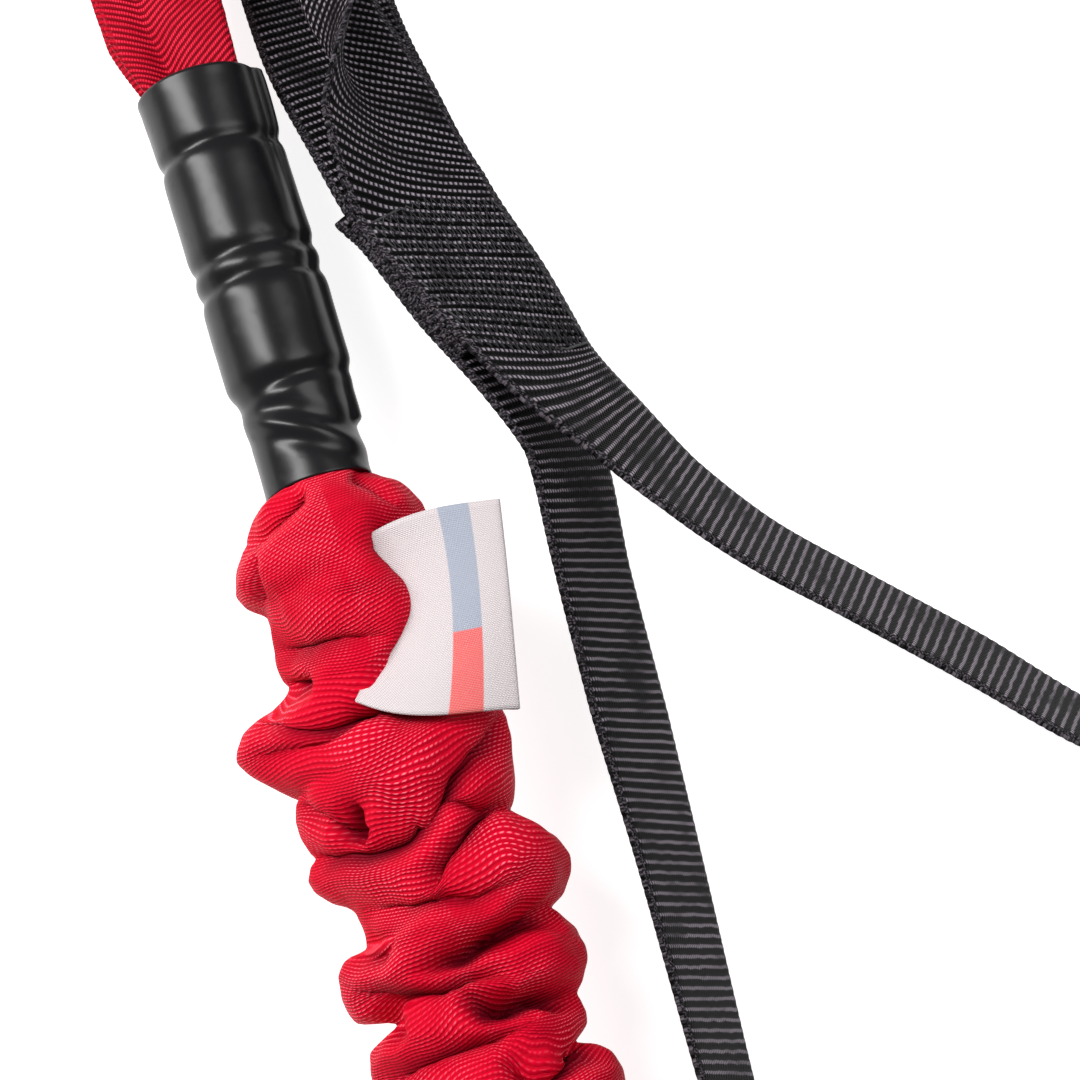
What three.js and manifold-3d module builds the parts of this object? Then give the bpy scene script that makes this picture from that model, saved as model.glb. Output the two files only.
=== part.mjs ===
// A bungee training tether lying flat: a gathered fabric sleeve over an elastic core, crimped at both
// ends under heat-shrink, with a webbing eye and a snap connector at each end and a webbing handle
// with a rolling foam grip hung on the first connector.
// Millimetres, +Z up. The tether lies along Y; the floor it lies on is z = 0.
// The route starts from the first heat-shrink's sleeve end (y = 0); the second end is its mirror.
import * as THREE from "three";
import { mergeVertices } from "three/addons/utils/BufferGeometryUtils.js";
import Module from "manifold-3d";

const wasm = await Module();
wasm.setup();

// ---- Driving dimensions ----
const GAP = 0.3; // clearance between touching pieces
const AXIS_Z = 18; // height of the tether's centre line
const SLEEVE_LENGTH = 300; // relaxed, between the two heat-shrinks
const SLEEVE_R = 17;
const NECK_R = 7.7; // sleeve gathered inside the heat-shrink neck
const NECK_DEPTH = 17;
const CORE_R = 4;
const CORE_INTO_END = 56; // how far the core runs into each crimped end

const SHRINK_LENGTH = 72.7;
const SHRINK_R = 10;
const SHRINK_WALL = 0.9;
const FERRULE_R = 8.8;
const FERRULE_BORE_R = 7;
const FERRULE_LENGTH = 15;
const LOWER_FERRULE_Y = 27;
const UPPER_FERRULE_Y = 50.5;

const EYE_X = -2; // the red eye sits a little left of the tether's line on the connector
const EYE_WIDTH = 21;
const EYE_THICKNESS = 2;
const TAIL_WIDTH = 8; // the eye's tails folded narrow inside the ferrules
const TAIL_THICKNESS = 1.2;

const WIRE_Y = 125; // the connector's basket bar, which both eyes wrap
const WIRE_Z = 8.2;
const BAR = 10; // connector bar, across and high
const BAR_CHAMFER = 3;
const BAR_CORNER_R = Math.hypot(BAR / 2, BAR / 2 - BAR_CHAMFER);
const BASKET_HALF = 24; // straight half length of the basket
const CORNER_R = 10;
const TIP_R = 15;
const CONNECTOR_LENGTH = 105; // basket bar to tip, on centre lines
const CONNECTOR_X = 11;
const NOSE_V = 21; // where the gate meets the nose, along the connector
const HINGE_V = 82;
const GATE_R = 4.4;
const RIVET_R = 1.5;
const EAR_GAP = 4; // slot between the hinge ears, which takes the gate's tongue
const TONGUE = 3.4;
const NOSE_PLATE = 3;
const SPRING_BORE_R = 2.4;

const STRAP_WIDTH = 25;
const STRAP_THICKNESS = 1.8;
const PLY = STRAP_THICKNESS + 2 * GAP;
const STRAP_STEP = 3; // spacing of the strap's cross-sections

const GRIP_START = [43, -187];
const GRIP_LENGTH = 125;
const GRIP_ANGLE = 18; // degrees from +X
const GRIP_Z = 18.7;
const TUBE_R = 15;
const TUBE_BORE_R = 13;
const FOAM_R = 18.5;
const CAP_LENGTH = 8;
const CAP_FACE = 2;

const LABEL_THICKNESS = 1.4;
const LABEL_Z = 35.4;
const LABEL_CORNERS = [[5.7, -10.2], [27.9, -10.2], [19.6, -42.9], [-1.7, -34.8]];

const FINISH = {
  fabric: { color: 0xb3101c, roughness: 0.7, metalness: 0 },
  strap: { color: 0x17171a, roughness: 0.75, metalness: 0 },
  shrink: { color: 0x111113, roughness: 0.4, metalness: 0 },
  steel: { color: 0xa9adb2, roughness: 0.35, metalness: 1 },
  rubber: { color: 0xd8c9a4, roughness: 0.6, metalness: 0 },
  label: { color: 0xe9e0e0, roughness: 0.6, metalness: 0 },
  foam: { color: 0x1d1d1f, roughness: 0.95, metalness: 0 },
  plastic: { color: 0x1a1a1c, roughness: 0.5, metalness: 0 },
};

// ---- Helpers ----
const vec = (x, y, z) => new THREE.Vector3(x, y, z);
const radians = THREE.MathUtils.degToRad;

function named(name, geometry, finish) {
  const mesh = new THREE.Mesh(geometry, new THREE.MeshStandardMaterial(FINISH[finish]));
  mesh.name = name;
  return mesh;
}

function toManifold(geometry) {
  const bare = geometry.clone();
  bare.deleteAttribute("normal");
  bare.deleteAttribute("uv");
  const merged = mergeVertices(bare, 1e-4);
  const vertProperties = new Float32Array(merged.attributes.position.array);
  const triVerts = new Uint32Array(merged.index.array);
  return new wasm.Manifold(new wasm.Mesh({ numProp: 3, vertProperties, triVerts }));
}

function toGeometry(solid) {
  const mesh = solid.getMesh();
  const geometry = new THREE.BufferGeometry();
  geometry.setAttribute("position", new THREE.BufferAttribute(mesh.vertProperties, 3));
  geometry.setIndex(new THREE.BufferAttribute(mesh.triVerts, 1));
  return geometry;
}

const cut = (geometry, ...tools) =>
  toGeometry(tools.reduce((solid, tool) => solid.subtract(toManifold(tool)), toManifold(geometry)));
const join = (geometry, ...others) =>
  toGeometry(others.reduce((solid, other) => solid.add(toManifold(other)), toManifold(geometry)));

// A closed ring of revolution about Y from its outline of [radius, y] points.
function ring(outline, segments = 22) {
  const points = [...outline, outline[0]].map(([r, y]) => new THREE.Vector2(r, y));
  return new THREE.LatheGeometry(points, segments);
}

const tube = (outer, inner, from, to) => ring([[inner, from], [outer, from], [outer, to], [inner, to]]);

// Sections along a route of stations {at, across, width, thickness}, evenly spaced by arc length.
function sections(route, step) {
  const curve = new THREE.CatmullRomCurve3(route.map((s) => s.at), false, "centripetal");
  curve.arcLengthDivisions = 800;
  const count = Math.round(curve.getLength() / step);
  return Array.from({ length: count + 1 }, (_, i) => {
    const u = i / count;
    const place = curve.getUtoTmapping(u) * (route.length - 1);
    const k = Math.min(Math.floor(place), route.length - 2);
    const [a, b, f] = [route[k], route[k + 1], place - k];
    const tangent = curve.getTangentAt(u);
    const lean = a.across.clone().lerp(b.across, f);
    const across = lean.addScaledVector(tangent, -lean.dot(tangent)).normalize();
    return {
      place,
      at: curve.getPointAt(u),
      tangent,
      across,
      normal: tangent.clone().cross(across),
      width: THREE.MathUtils.lerp(a.width, b.width, f),
      thickness: THREE.MathUtils.lerp(a.thickness, b.thickness, f),
    };
  });
}

// A flat band swept through its sections: a box bent to follow them.
function band(frames) {
  const steps = frames.length - 1;
  const geometry = new THREE.BoxGeometry(1, 1, 1, 1, 1, steps);
  const corners = geometry.attributes.position;
  for (let i = 0; i < corners.count; i++) {
    const frame = frames[Math.round((corners.getZ(i) + 0.5) * steps)];
    const point = frame.at.clone();
    point.addScaledVector(frame.across, corners.getX(i) * frame.width);
    point.addScaledVector(frame.normal, corners.getY(i) * frame.thickness);
    corners.setXYZ(i, point.x, point.y, point.z);
  }
  return geometry;
}

// ---- Snap connector: its own plane is XY, basket bar along X at the origin, tip towards +Y ----
function barSection() {
  const [half, flat] = [BAR / 2, BAR / 2 - BAR_CHAMFER];
  const corners = [[half, flat], [flat, half], [-flat, half], [-half, flat]];
  const opposite = corners.map(([x, y]) => [-x, -y]);
  return new THREE.Shape([...corners, ...opposite].map(([x, y]) => new THREE.Vector2(x, y)));
}

// The side's slope from the basket corner to the tip's round.
const SIDE_START = vec(BASKET_HALF + CORNER_R, CORNER_R, 0);
const SIDE_END = vec(TIP_R, CONNECTOR_LENGTH - TIP_R, 0);
const sidePoint = (v) => {
  const f = (v - SIDE_START.y) / (SIDE_END.y - SIDE_START.y);
  return SIDE_START.clone().lerp(SIDE_END, f);
};
const mirrored = (point) => vec(-point.x, point.y, point.z);

function connectorBody() {
  const nose = mirrored(sidePoint(NOSE_V));
  const hinge = mirrored(sidePoint(HINGE_V));
  const cornerLeft = vec(-BASKET_HALF, 0, 0);
  const cornerRight = vec(BASKET_HALF, 0, 0);
  const tip = vec(0, CONNECTOR_LENGTH, 0);
  const path = new THREE.CurvePath();
  path.add(new THREE.LineCurve3(nose, mirrored(SIDE_START)));
  path.add(new THREE.QuadraticBezierCurve3(mirrored(SIDE_START), vec(-SIDE_START.x, 0, 0), cornerLeft));
  path.add(new THREE.LineCurve3(cornerLeft, cornerRight));
  path.add(new THREE.QuadraticBezierCurve3(cornerRight, vec(SIDE_START.x, 0, 0), SIDE_START));
  path.add(new THREE.LineCurve3(SIDE_START, SIDE_END));
  path.add(new THREE.QuadraticBezierCurve3(SIDE_END, vec(TIP_R - 2, CONNECTOR_LENGTH, 0), tip));
  path.add(new THREE.QuadraticBezierCurve3(tip, vec(2 - TIP_R, CONNECTOR_LENGTH, 0), mirrored(SIDE_END)));
  path.add(new THREE.LineCurve3(mirrored(SIDE_END), hinge));
  return new THREE.ExtrudeGeometry(barSection(), { steps: 70, bevelEnabled: false, extrudePath: path });
}

// The gate's line from the hinge to the nose, and a helper that places things along it.
const HINGE = mirrored(sidePoint(HINGE_V));
const NOSE = mirrored(sidePoint(NOSE_V));
const GATE_LENGTH = HINGE.distanceTo(NOSE);
const GATE_TURN = Math.atan2(NOSE.y - HINGE.y, NOSE.x - HINGE.x) - Math.PI / 2;
function onGate(geometry, distance) {
  geometry.rotateZ(GATE_TURN);
  const spot = HINGE.clone().lerp(NOSE, distance / GATE_LENGTH);
  return geometry.translate(spot.x, spot.y, spot.z);
}

const PIVOT = 4; // rivet centre, along the gate from the end of the bar
const EAR_REACH = PIVOT + BAR / 2; // the ears are round about the rivet, so the gate clears them
const NOSE_REACH = 5;
const OVERLAP = 2; // how far joined shapes run into each other

function bodyWithEnds() {
  const ears = onGate(new THREE.BoxGeometry(BAR, PIVOT + OVERLAP, BAR), (PIVOT - OVERLAP) / 2);
  const earEnds = onGate(pinAcross(BAR / 2, BAR), PIVOT);
  const slot = onGate(new THREE.BoxGeometry(2 * BAR, EAR_REACH + 1, EAR_GAP), (EAR_REACH + 1) / 2);
  const rivetHole = onGate(pinAcross(RIVET_R + 0.05, 2 * BAR), PIVOT);
  const plateBox = new THREE.BoxGeometry(BAR - 3, NOSE_REACH + OVERLAP, NOSE_PLATE);
  const plate = onGate(plateBox, GATE_LENGTH - (NOSE_REACH - OVERLAP) / 2);
  return cut(join(connectorBody(), ears, earEnds, plate), slot, rivetHole);
}

function pinAcross(radius, length) {
  return new THREE.CylinderGeometry(radius, radius, length, 20).rotateX(Math.PI / 2);
}

function gateShape() {
  const [from, to] = [EAR_REACH + GAP, GATE_LENGTH - GAP];
  const barrel = onGate(new THREE.CylinderGeometry(GATE_R, GATE_R, to - from, 20), (from + to) / 2);
  const [tongueFrom, tongueTo] = [1.5, from + OVERLAP];
  const tongueBox = new THREE.BoxGeometry(5, tongueTo - tongueFrom, TONGUE);
  const tongue = onGate(tongueBox, (tongueFrom + tongueTo) / 2);
  const rivetHole = onGate(pinAcross(RIVET_R + 0.05, BAR), PIVOT);
  const slot = onGate(new THREE.BoxGeometry(BAR, 2 * NOSE_REACH + 2, NOSE_PLATE + 2 * GAP), GATE_LENGTH);
  const bore = onGate(new THREE.CylinderGeometry(SPRING_BORE_R, SPRING_BORE_R, 40, 16), GATE_LENGTH - 18);
  return cut(join(barrel, tongue), rivetHole, slot, bore);
}

function gateSpring() {
  const [coilR, wireR, turns, length] = [1.7, 0.35, 6, 22];
  const points = Array.from({ length: turns * 8 + 1 }, (_, i) => {
    const turn = (i / 8) * 2 * Math.PI;
    return vec(coilR * Math.cos(turn), (i / (turns * 8) - 0.5) * length, coilR * Math.sin(turn));
  });
  const section = new THREE.Shape().absarc(0, 0, wireR, 0, 2 * Math.PI);
  const path = new THREE.CatmullRomCurve3(points);
  const coil = new THREE.ExtrudeGeometry(section, {
    steps: turns * 8, curveSegments: 2, bevelEnabled: false, extrudePath: path });
  return onGate(coil, GATE_LENGTH - 18);
}

const CONNECTOR_TILT = Math.asin((WIRE_Z - BAR / 2 - GAP) / CONNECTOR_LENGTH);

function connector(end) {
  const group = new THREE.Group();
  group.add(
    named(`connector_body_${end}`, bodyWithEnds(), "steel"),
    named(`connector_gate_${end}`, gateShape(), "steel"),
    named(`gate_rivet_${end}`, onGate(pinAcross(RIVET_R, BAR), PIVOT), "steel"),
    named(`gate_spring_${end}`, gateSpring(), "steel"),
  );
  group.position.set(CONNECTOR_X, WIRE_Y, WIRE_Z);
  group.rotation.x = -CONNECTOR_TILT; // the tip rests on the floor, the basket on the eyes
  return group;
}

// ---- Crimped end: ferrules under heat-shrink, and the eye ----
function heatShrink() {
  const outline = [
    [9, 0.3], [9, 16], [8.9, 18], [SHRINK_R, 19.5], [SHRINK_R, 34.5], [9.3, 36], [9.9, 38.5],
    [9.3, 41], [SHRINK_R, 42.5], [SHRINK_R, 58.5], [9.3, 60], [SHRINK_R, 62], [SHRINK_R + 0.3, SHRINK_LENGTH],
  ];
  const inside = outline.map(([r, y]) => [r - SHRINK_WALL, y]).reverse();
  return ring([...outline, ...inside]);
}

function ferrule(centre) {
  const [low, high] = [centre - FERRULE_LENGTH / 2, centre + FERRULE_LENGTH / 2];
  return ring([
    [FERRULE_BORE_R, low], [FERRULE_R - 0.6, low], [FERRULE_R, low + 0.8],
    [FERRULE_R, high - 0.8], [FERRULE_R - 0.6, high], [FERRULE_BORE_R, high],
  ]);
}

// One ply of the eye from inside the ferrules to the bar; side is 1 above the core and -1 below.
function eyePly(side) {
  const across = vec(-1, 0, 0);
  const station = (x, y, z, width, thickness) => ({ at: vec(x, y, z), across, width, thickness });
  const ferrulePly = CORE_R + GAP + TAIL_THICKNESS / 2;
  return [
    station(0, 20, AXIS_Z + side * ferrulePly, TAIL_WIDTH, TAIL_THICKNESS),
    station(0, 42, AXIS_Z + side * ferrulePly, TAIL_WIDTH, TAIL_THICKNESS),
    station(0, 59, AXIS_Z + side * ferrulePly, TAIL_WIDTH, TAIL_THICKNESS),
    station(0, 68, AXIS_Z + side * 4.2, 12.5, 1.8),
    station(-0.6, 76, AXIS_Z + side * 3.7, 15, EYE_THICKNESS),
    station(EYE_X, 88, AXIS_Z - 2 + side * 5.2, EYE_WIDTH, EYE_THICKNESS),
    station(EYE_X, 108, WIRE_Z + 3.5 + side * 6.6, EYE_WIDTH, EYE_THICKNESS),
  ];
}

// Stations round the basket bar, over its top from the near side and back underneath.
function roundTheBar(x, thickness, width) {
  const radius = BAR_CORNER_R + 2 * GAP + thickness / 2;
  return [-15, 20, 55, 90, 125, 160, 195].map((degrees) => {
    const turn = radians(degrees);
    const at = vec(x, WIRE_Y + radius * Math.sin(turn), WIRE_Z + radius * Math.cos(turn));
    return { at, across: vec(-1, 0, 0), width, thickness };
  });
}

function eyeWebbing() {
  const wrap = roundTheBar(EYE_X, EYE_THICKNESS, EYE_WIDTH);
  const route = [...eyePly(1), ...wrap, ...eyePly(-1).reverse()];
  return band(sections(route, STRAP_STEP));
}

function crimpedEnd(end) {
  const group = new THREE.Group();
  const line = new THREE.Group();
  line.position.z = AXIS_Z;
  line.add(
    named(`heat_shrink_${end}`, heatShrink(), "shrink"),
    named(`ferrule_lower_${end}`, ferrule(LOWER_FERRULE_Y), "steel"),
    named(`ferrule_upper_${end}`, ferrule(UPPER_FERRULE_Y), "steel"),
  );
  group.add(line, named(`eye_webbing_${end}`, eyeWebbing(), "fabric"));
  return group;
}

// ---- Elastic core, gathered sleeve and label ----
function sleeve() {
  const far = -SLEEVE_LENGTH;
  const [inner, shoulder] = [CORE_R + 0.4, 5];
  return ring([
    [inner, NECK_DEPTH], [inner, far - NECK_DEPTH], [NECK_R, far - NECK_DEPTH], [NECK_R, far - GAP],
    [SLEEVE_R - 3, far + GAP], [SLEEVE_R, far + shoulder],
    [SLEEVE_R, -shoulder], [SLEEVE_R - 3, -GAP], [NECK_R, GAP], [NECK_R, NECK_DEPTH],
  ]);
}

function core() {
  const length = SLEEVE_LENGTH + 2 * CORE_INTO_END;
  return new THREE.CylinderGeometry(CORE_R, CORE_R, length, 16).translate(0, -SLEEVE_LENGTH / 2, 0);
}

function label() {
  const outline = new THREE.Shape(LABEL_CORNERS.map(([x, y]) => new THREE.Vector2(x, y)));
  const plies = new THREE.ExtrudeGeometry(outline, { depth: LABEL_THICKNESS, bevelEnabled: false });
  return plies.translate(0, 0, LABEL_Z);
}

function middle() {
  const line = new THREE.Group();
  line.position.z = AXIS_Z;
  line.add(named("bungee_core", core(), "rubber"), named("sleeve", sleeve(), "fabric"));
  const group = new THREE.Group();
  group.add(line, named("woven_label", label(), "label"));
  return group;
}

// ---- Handle strap: one length of webbing, laid by stations ----
// tilt is how far the strap leans on edge, its left edge up; heading is its direction, from -Y to +X.
function lay(x, y, z, tilt, heading) {
  const [t, h] = [radians(tilt), radians(heading)];
  const across = vec(-Math.cos(t) * Math.cos(h), -Math.cos(t) * Math.sin(h), Math.sin(t));
  const up = vec(Math.sin(t) * Math.cos(h), Math.sin(t) * Math.sin(h), Math.cos(t));
  return { at: vec(x, y, z), across, up, width: STRAP_WIDTH, thickness: STRAP_THICKNESS };
}
const under = (station, plies) => ({
  ...station, at: station.at.clone().addScaledVector(station.up, -plies * PLY) });

const STITCHED = [lay(30.2, 43, 19, 20, 17.7), lay(36, 25, 19.5, 30, 17.7), lay(41.4, 9, 20, 43, 18)];
const HIDDEN_END = lay(39, 16, 19.8, 37, 18); // the returning ply stops between the other two

const LEFT_LEG = [
  lay(40.1, -4.2, 15.2, 56, 5), lay(38.6, -24, 12.4, 58, 3), lay(37.1, -48.6, 11.4, 58, 3),
  lay(35.9, -71.7, 11.6, 62, 3), lay(33.4, -110.3, 12.3, 67, 3), lay(31.3, -150, 16, 80, 2),
];
const GRIP_TURN_LEFT = [
  lay(30.8, -174, GRIP_Z, 90, 0), lay(32.6, -182.5, GRIP_Z, 90, 0), lay(37.5, -187.4, GRIP_Z, 90, 0),
];
const GRIP_TURN_RIGHT = [lay(167.4, -145, GRIP_Z, 90, 0), lay(169, -138.5, GRIP_Z, 90, 44)];
const RIGHT_LEG = [
  lay(163.5, -130, 18.5, 88, 44), lay(140, -106.3, 15, 75, 44), lay(105.9, -71.7, 11.8, 60, 42),
  lay(93, -56.9, 11.8, 58, 42), lay(77.8, -40.9, 12.4, 58, 42), lay(65.5, -28.1, 13.6, 57, 42),
  lay(56, -15.6, 15.8, 55, 40), lay(48.3, -3, 18.4, 50, 31),
];
const EYE_FRONT = [
  lay(28.2, 60, 20, 14, 8), lay(27.2, 76, 20, 8, 0), lay(25.4, 96, 17.6, 3, 0), lay(24, 112, 15.2, 0, 0),
];
const EYE_BACK = [
  lay(24.2, 112, 1.9, 0, 0), lay(24.4, 96, 5.2, 0, 0), lay(24.6, 76, 11.4, 3, 0), lay(27, 58, 15.6, 12, 10),
];
const HANDLE_EYE_X = 23.8;

const GRIP_AXIS = vec(Math.cos(radians(GRIP_ANGLE)), Math.sin(radians(GRIP_ANGLE)), 0);
const onGripAxis = (distance) => {
  const at = vec(...GRIP_START, GRIP_Z).addScaledVector(GRIP_AXIS, distance);
  return lay(at.x, at.y, at.z, 90, 0);
};

function strapSections() {
  const inGrip = [2, 12, GRIP_LENGTH / 2, GRIP_LENGTH - 12, GRIP_LENGTH - 2].map(onGripAxis);
  const stages = [
    STITCHED.map((s) => under(s, 2)), LEFT_LEG, GRIP_TURN_LEFT, inGrip, GRIP_TURN_RIGHT, RIGHT_LEG,
    [...STITCHED].reverse(), EYE_FRONT, roundTheBar(HANDLE_EYE_X, STRAP_THICKNESS, STRAP_WIDTH),
    EYE_BACK, [STITCHED[0], STITCHED[1], HIDDEN_END].map((s) => under(s, 1)),
  ];
  const starts = [];
  stages.reduce((count, stage) => (starts.push(count), count + stage.length), 0);
  return { frames: sections(stages.flat(), STRAP_STEP), starts };
}

// The stretch of strap between two stations, held a gap short at its start so it only meets the last.
function stretch(frames, from, to) {
  const part = frames.filter((frame) => frame.place >= from && frame.place <= to);
  const after = frames.find((frame) => frame.place > to);
  const end = after ? [{ ...after, at: after.at.clone().addScaledVector(after.tangent, -GAP) }] : [];
  return band([...part, ...end]);
}

// A zigzag of thread over the face of the stitched plies.
function stitching(frames, from, to) {
  const [reach, rows, thread] = [9.5, 15, 0.6];
  const rise = STRAP_THICKNESS / 2 + 2 * GAP + thread / 2;
  const face = frames.filter((frame) => frame.place >= from && frame.place <= to);
  const route = Array.from({ length: rows }, (_, i) => {
    const frame = face[Math.round((i / (rows - 1)) * (face.length - 1))];
    const at = frame.at.clone().addScaledVector(frame.across, i % 2 ? reach : -reach);
    at.addScaledVector(frame.normal, rise);
    return { at, across: frame.tangent.clone(), width: 1, thickness: thread };
  });
  return band(sections(route, STRAP_STEP));
}

function handle() {
  const { frames, starts } = strapSections();
  const [, leftLeg, turnLeft, , turnRight, rightLeg, stitched, eye] = starts;
  const group = new THREE.Group();
  group.add(
    named("strap_left_leg", stretch(frames, 0, turnLeft), "strap"),
    named("strap_in_grip", stretch(frames, turnLeft, rightLeg), "strap"),
    named("strap_right_leg", stretch(frames, rightLeg, stitched), "strap"),
    named("strap_eye", stretch(frames, stitched, Infinity), "strap"),
    named("strap_stitching", stitching(frames, stitched + 0.1, eye - 1.1), "strap"),
  );
  return group;
}

// ---- Grip: a tube that rolls on the strap, with foam and two end caps; its own axis is Y ----
function gripCap() {
  const skirt = TUBE_R + GAP;
  return ring([
    [TUBE_BORE_R, -CAP_FACE], [FOAM_R - 1.2, -CAP_FACE], [FOAM_R - 0.5, -CAP_FACE + 0.8],
    [FOAM_R - 0.5, CAP_LENGTH - CAP_FACE], [skirt, CAP_LENGTH - CAP_FACE], [skirt, -GAP], [TUBE_BORE_R, -GAP],
  ]);
}

function grip() {
  const foamFrom = CAP_LENGTH - CAP_FACE + GAP;
  const foamTo = GRIP_LENGTH - foamFrom;
  const foam = ring([
    [TUBE_R + GAP, foamFrom], [FOAM_R - 0.8, foamFrom], [FOAM_R, foamFrom + 1.5],
    [FOAM_R, foamTo - 1.5], [FOAM_R - 0.8, foamTo], [TUBE_R + GAP, foamTo],
  ]);
  const farCap = named("grip_cap_right", gripCap(), "plastic");
  farCap.rotation.z = Math.PI;
  farCap.position.y = GRIP_LENGTH;
  const group = new THREE.Group();
  group.add(
    named("grip_tube", tube(TUBE_R, TUBE_BORE_R, 0, GRIP_LENGTH), "plastic"),
    named("grip_foam", foam, "foam"),
    named("grip_cap_left", gripCap(), "plastic"),
    farCap,
  );
  group.position.set(...GRIP_START, GRIP_Z);
  group.rotation.z = radians(GRIP_ANGLE - 90);
  return group;
}

// ---- The whole tether ----
function farSide(...pieces) {
  const group = new THREE.Group();
  group.add(...pieces);
  group.position.y = -SLEEVE_LENGTH;
  group.rotation.z = Math.PI;
  return group;
}

const anchor = connector("b");
anchor.position.x = EYE_X;
const tether = new THREE.Group();
tether.add(connector("a"), crimpedEnd("a"), middle(), farSide(crimpedEnd("b"), anchor), handle(), grip());

// The origin is the middle of the footprint, on the floor.
const part = new THREE.Group();
part.add(tether);
part.updateMatrixWorld(true);
const footprint = new THREE.Box3().setFromObject(part);
const centre = footprint.getCenter(new THREE.Vector3());
tether.position.set(-centre.x, -centre.y, -footprint.min.z);

export default part;
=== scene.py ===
"""A bungee training tether: gathered sleeve, crimped ends, webbing eyes, snap connectors, handle strap."""

import math
import random

import bmesh
import bpy
import numpy as np
from mathutils import Matrix, Vector, noise


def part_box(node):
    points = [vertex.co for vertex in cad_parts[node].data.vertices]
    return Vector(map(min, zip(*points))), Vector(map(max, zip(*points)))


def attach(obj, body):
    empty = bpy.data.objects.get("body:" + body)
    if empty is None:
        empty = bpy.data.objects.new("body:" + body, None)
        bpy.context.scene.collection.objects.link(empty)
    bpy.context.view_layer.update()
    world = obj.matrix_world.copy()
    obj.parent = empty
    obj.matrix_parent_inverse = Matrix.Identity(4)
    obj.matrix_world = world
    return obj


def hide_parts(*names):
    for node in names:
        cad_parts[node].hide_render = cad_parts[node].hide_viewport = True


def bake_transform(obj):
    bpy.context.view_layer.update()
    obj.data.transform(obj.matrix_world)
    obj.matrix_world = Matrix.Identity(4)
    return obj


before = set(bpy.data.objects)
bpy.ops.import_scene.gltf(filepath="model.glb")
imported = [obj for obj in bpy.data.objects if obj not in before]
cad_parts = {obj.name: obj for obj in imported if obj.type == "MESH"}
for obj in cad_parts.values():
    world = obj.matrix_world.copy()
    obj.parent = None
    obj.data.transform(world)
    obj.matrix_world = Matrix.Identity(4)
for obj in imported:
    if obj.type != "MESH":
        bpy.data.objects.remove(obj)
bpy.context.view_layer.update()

MM = 0.001
shrink_low, shrink_high = (np.array(corner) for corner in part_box("heat_shrink_a"))
SHRINK_GAP = 0.3 * MM  # the heat-shrink starts this far above the sleeve's end
ORIGIN = np.array([(shrink_low[0] + shrink_high[0]) / 2, shrink_low[1] - SHRINK_GAP, 0.0])
AXIS_Z = (shrink_low[2] + shrink_high[2]) / 2 / MM  # the tether's centre line, in mm
SLEEVE_LENGTH = ORIGIN[1] / MM * 2  # the two ends mirror each other about the row's own Y = 0


def place(points):
    """Points in millimetres from the sleeve's upper end, on the floor, to metres in the row frame."""
    return np.asarray(points, float) * MM + ORIGIN


def new_object(name, data):
    """An object in the scene that shows a camera, a lamp, a mesh or a curve."""
    thing = bpy.data.objects.new(name, data)
    bpy.context.scene.collection.objects.link(thing)
    return thing


# ---- camera, lights, floor
# Places are in mm and go through place(); distances, lamp sizes and the floor are in metres.
CAMERA_TARGET = (31.4, -18.4, 18.0)
CAMERA_LENS = 100
CAMERA_DISTANCE = 0.484
CAMERA_ELEVATION = math.radians(76)
CAMERA_ROLL = math.radians(17.5)  # the picture's up leans this far from +Y towards +X
KEY_AT = (-345, 295, 495)
KEY_AIM = (0, -20, 0)
KEY_WATTS = 6.0
KEY_WIDTH, KEY_HEIGHT = 0.18, 0.6
FILL_FROM = (300, 0, 420)
FILL_STRENGTH = 1.3
FILL_SPREAD = math.radians(40)
WORLD_STRENGTH = 0.3
FLOOR_HALF = 3
FLOOR_GLOW = 0.86
FLOOR_TONES = (0.52, 0.52, 0.52, 1), (0.55, 0.55, 0.55, 1)


def make_camera():
    up = Vector((math.sin(CAMERA_ROLL), math.cos(CAMERA_ROLL), 0))
    back = -up * math.cos(CAMERA_ELEVATION) + Vector((0, 0, 1)) * math.sin(CAMERA_ELEVATION)
    right = up.cross(Vector((0, 0, 1)))
    axes = Matrix((right, back.cross(right), back)).transposed().to_4x4()
    data = bpy.data.cameras.new("camera")
    data.lens = CAMERA_LENS
    camera = new_object("camera", data)
    camera.matrix_world = Matrix.Translation(Vector(place(CAMERA_TARGET)) + back * CAMERA_DISTANCE) @ axes
    bpy.context.scene.camera = camera


def make_light(name, kind, at, aim, power, **settings):
    """A lamp at a place in mm, aimed at another."""
    data = bpy.data.lights.new(name, kind)
    data.energy = power
    for key, value in settings.items():
        setattr(data, key, value)
    light = new_object(name, data)
    light.location = place(at)
    direction = Vector(place(aim)) - light.location
    light.rotation_euler = direction.to_track_quat("-Z", "Y").to_euler()


def make_stage():
    world = bpy.data.worlds.new("studio")
    bpy.context.scene.world = world
    world.use_nodes = True
    background = world.node_tree.nodes["Background"].inputs
    background["Color"].default_value = (1, 1, 1, 1)
    background["Strength"].default_value = WORLD_STRENGTH
    make_light("key", "AREA", KEY_AT, KEY_AIM, KEY_WATTS, shape="RECTANGLE", size=KEY_WIDTH,
               size_y=KEY_HEIGHT)
    make_light("fill", "SUN", FILL_FROM, (0, 0, 0), FILL_STRENGTH, angle=FILL_SPREAD)
    bpy.context.scene.view_settings.view_transform = "Standard"
    mesh = bpy.data.meshes.new("floor")
    corners = [(x * FLOOR_HALF, y * FLOOR_HALF, 0) for x, y in ((-1, -1), (1, -1), (1, 1), (-1, 1))]
    mesh.from_pydata(corners, [], [(0, 1, 2, 3)])
    floor = new_object("floor", mesh)
    mesh.materials.append(plain_floor())


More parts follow.
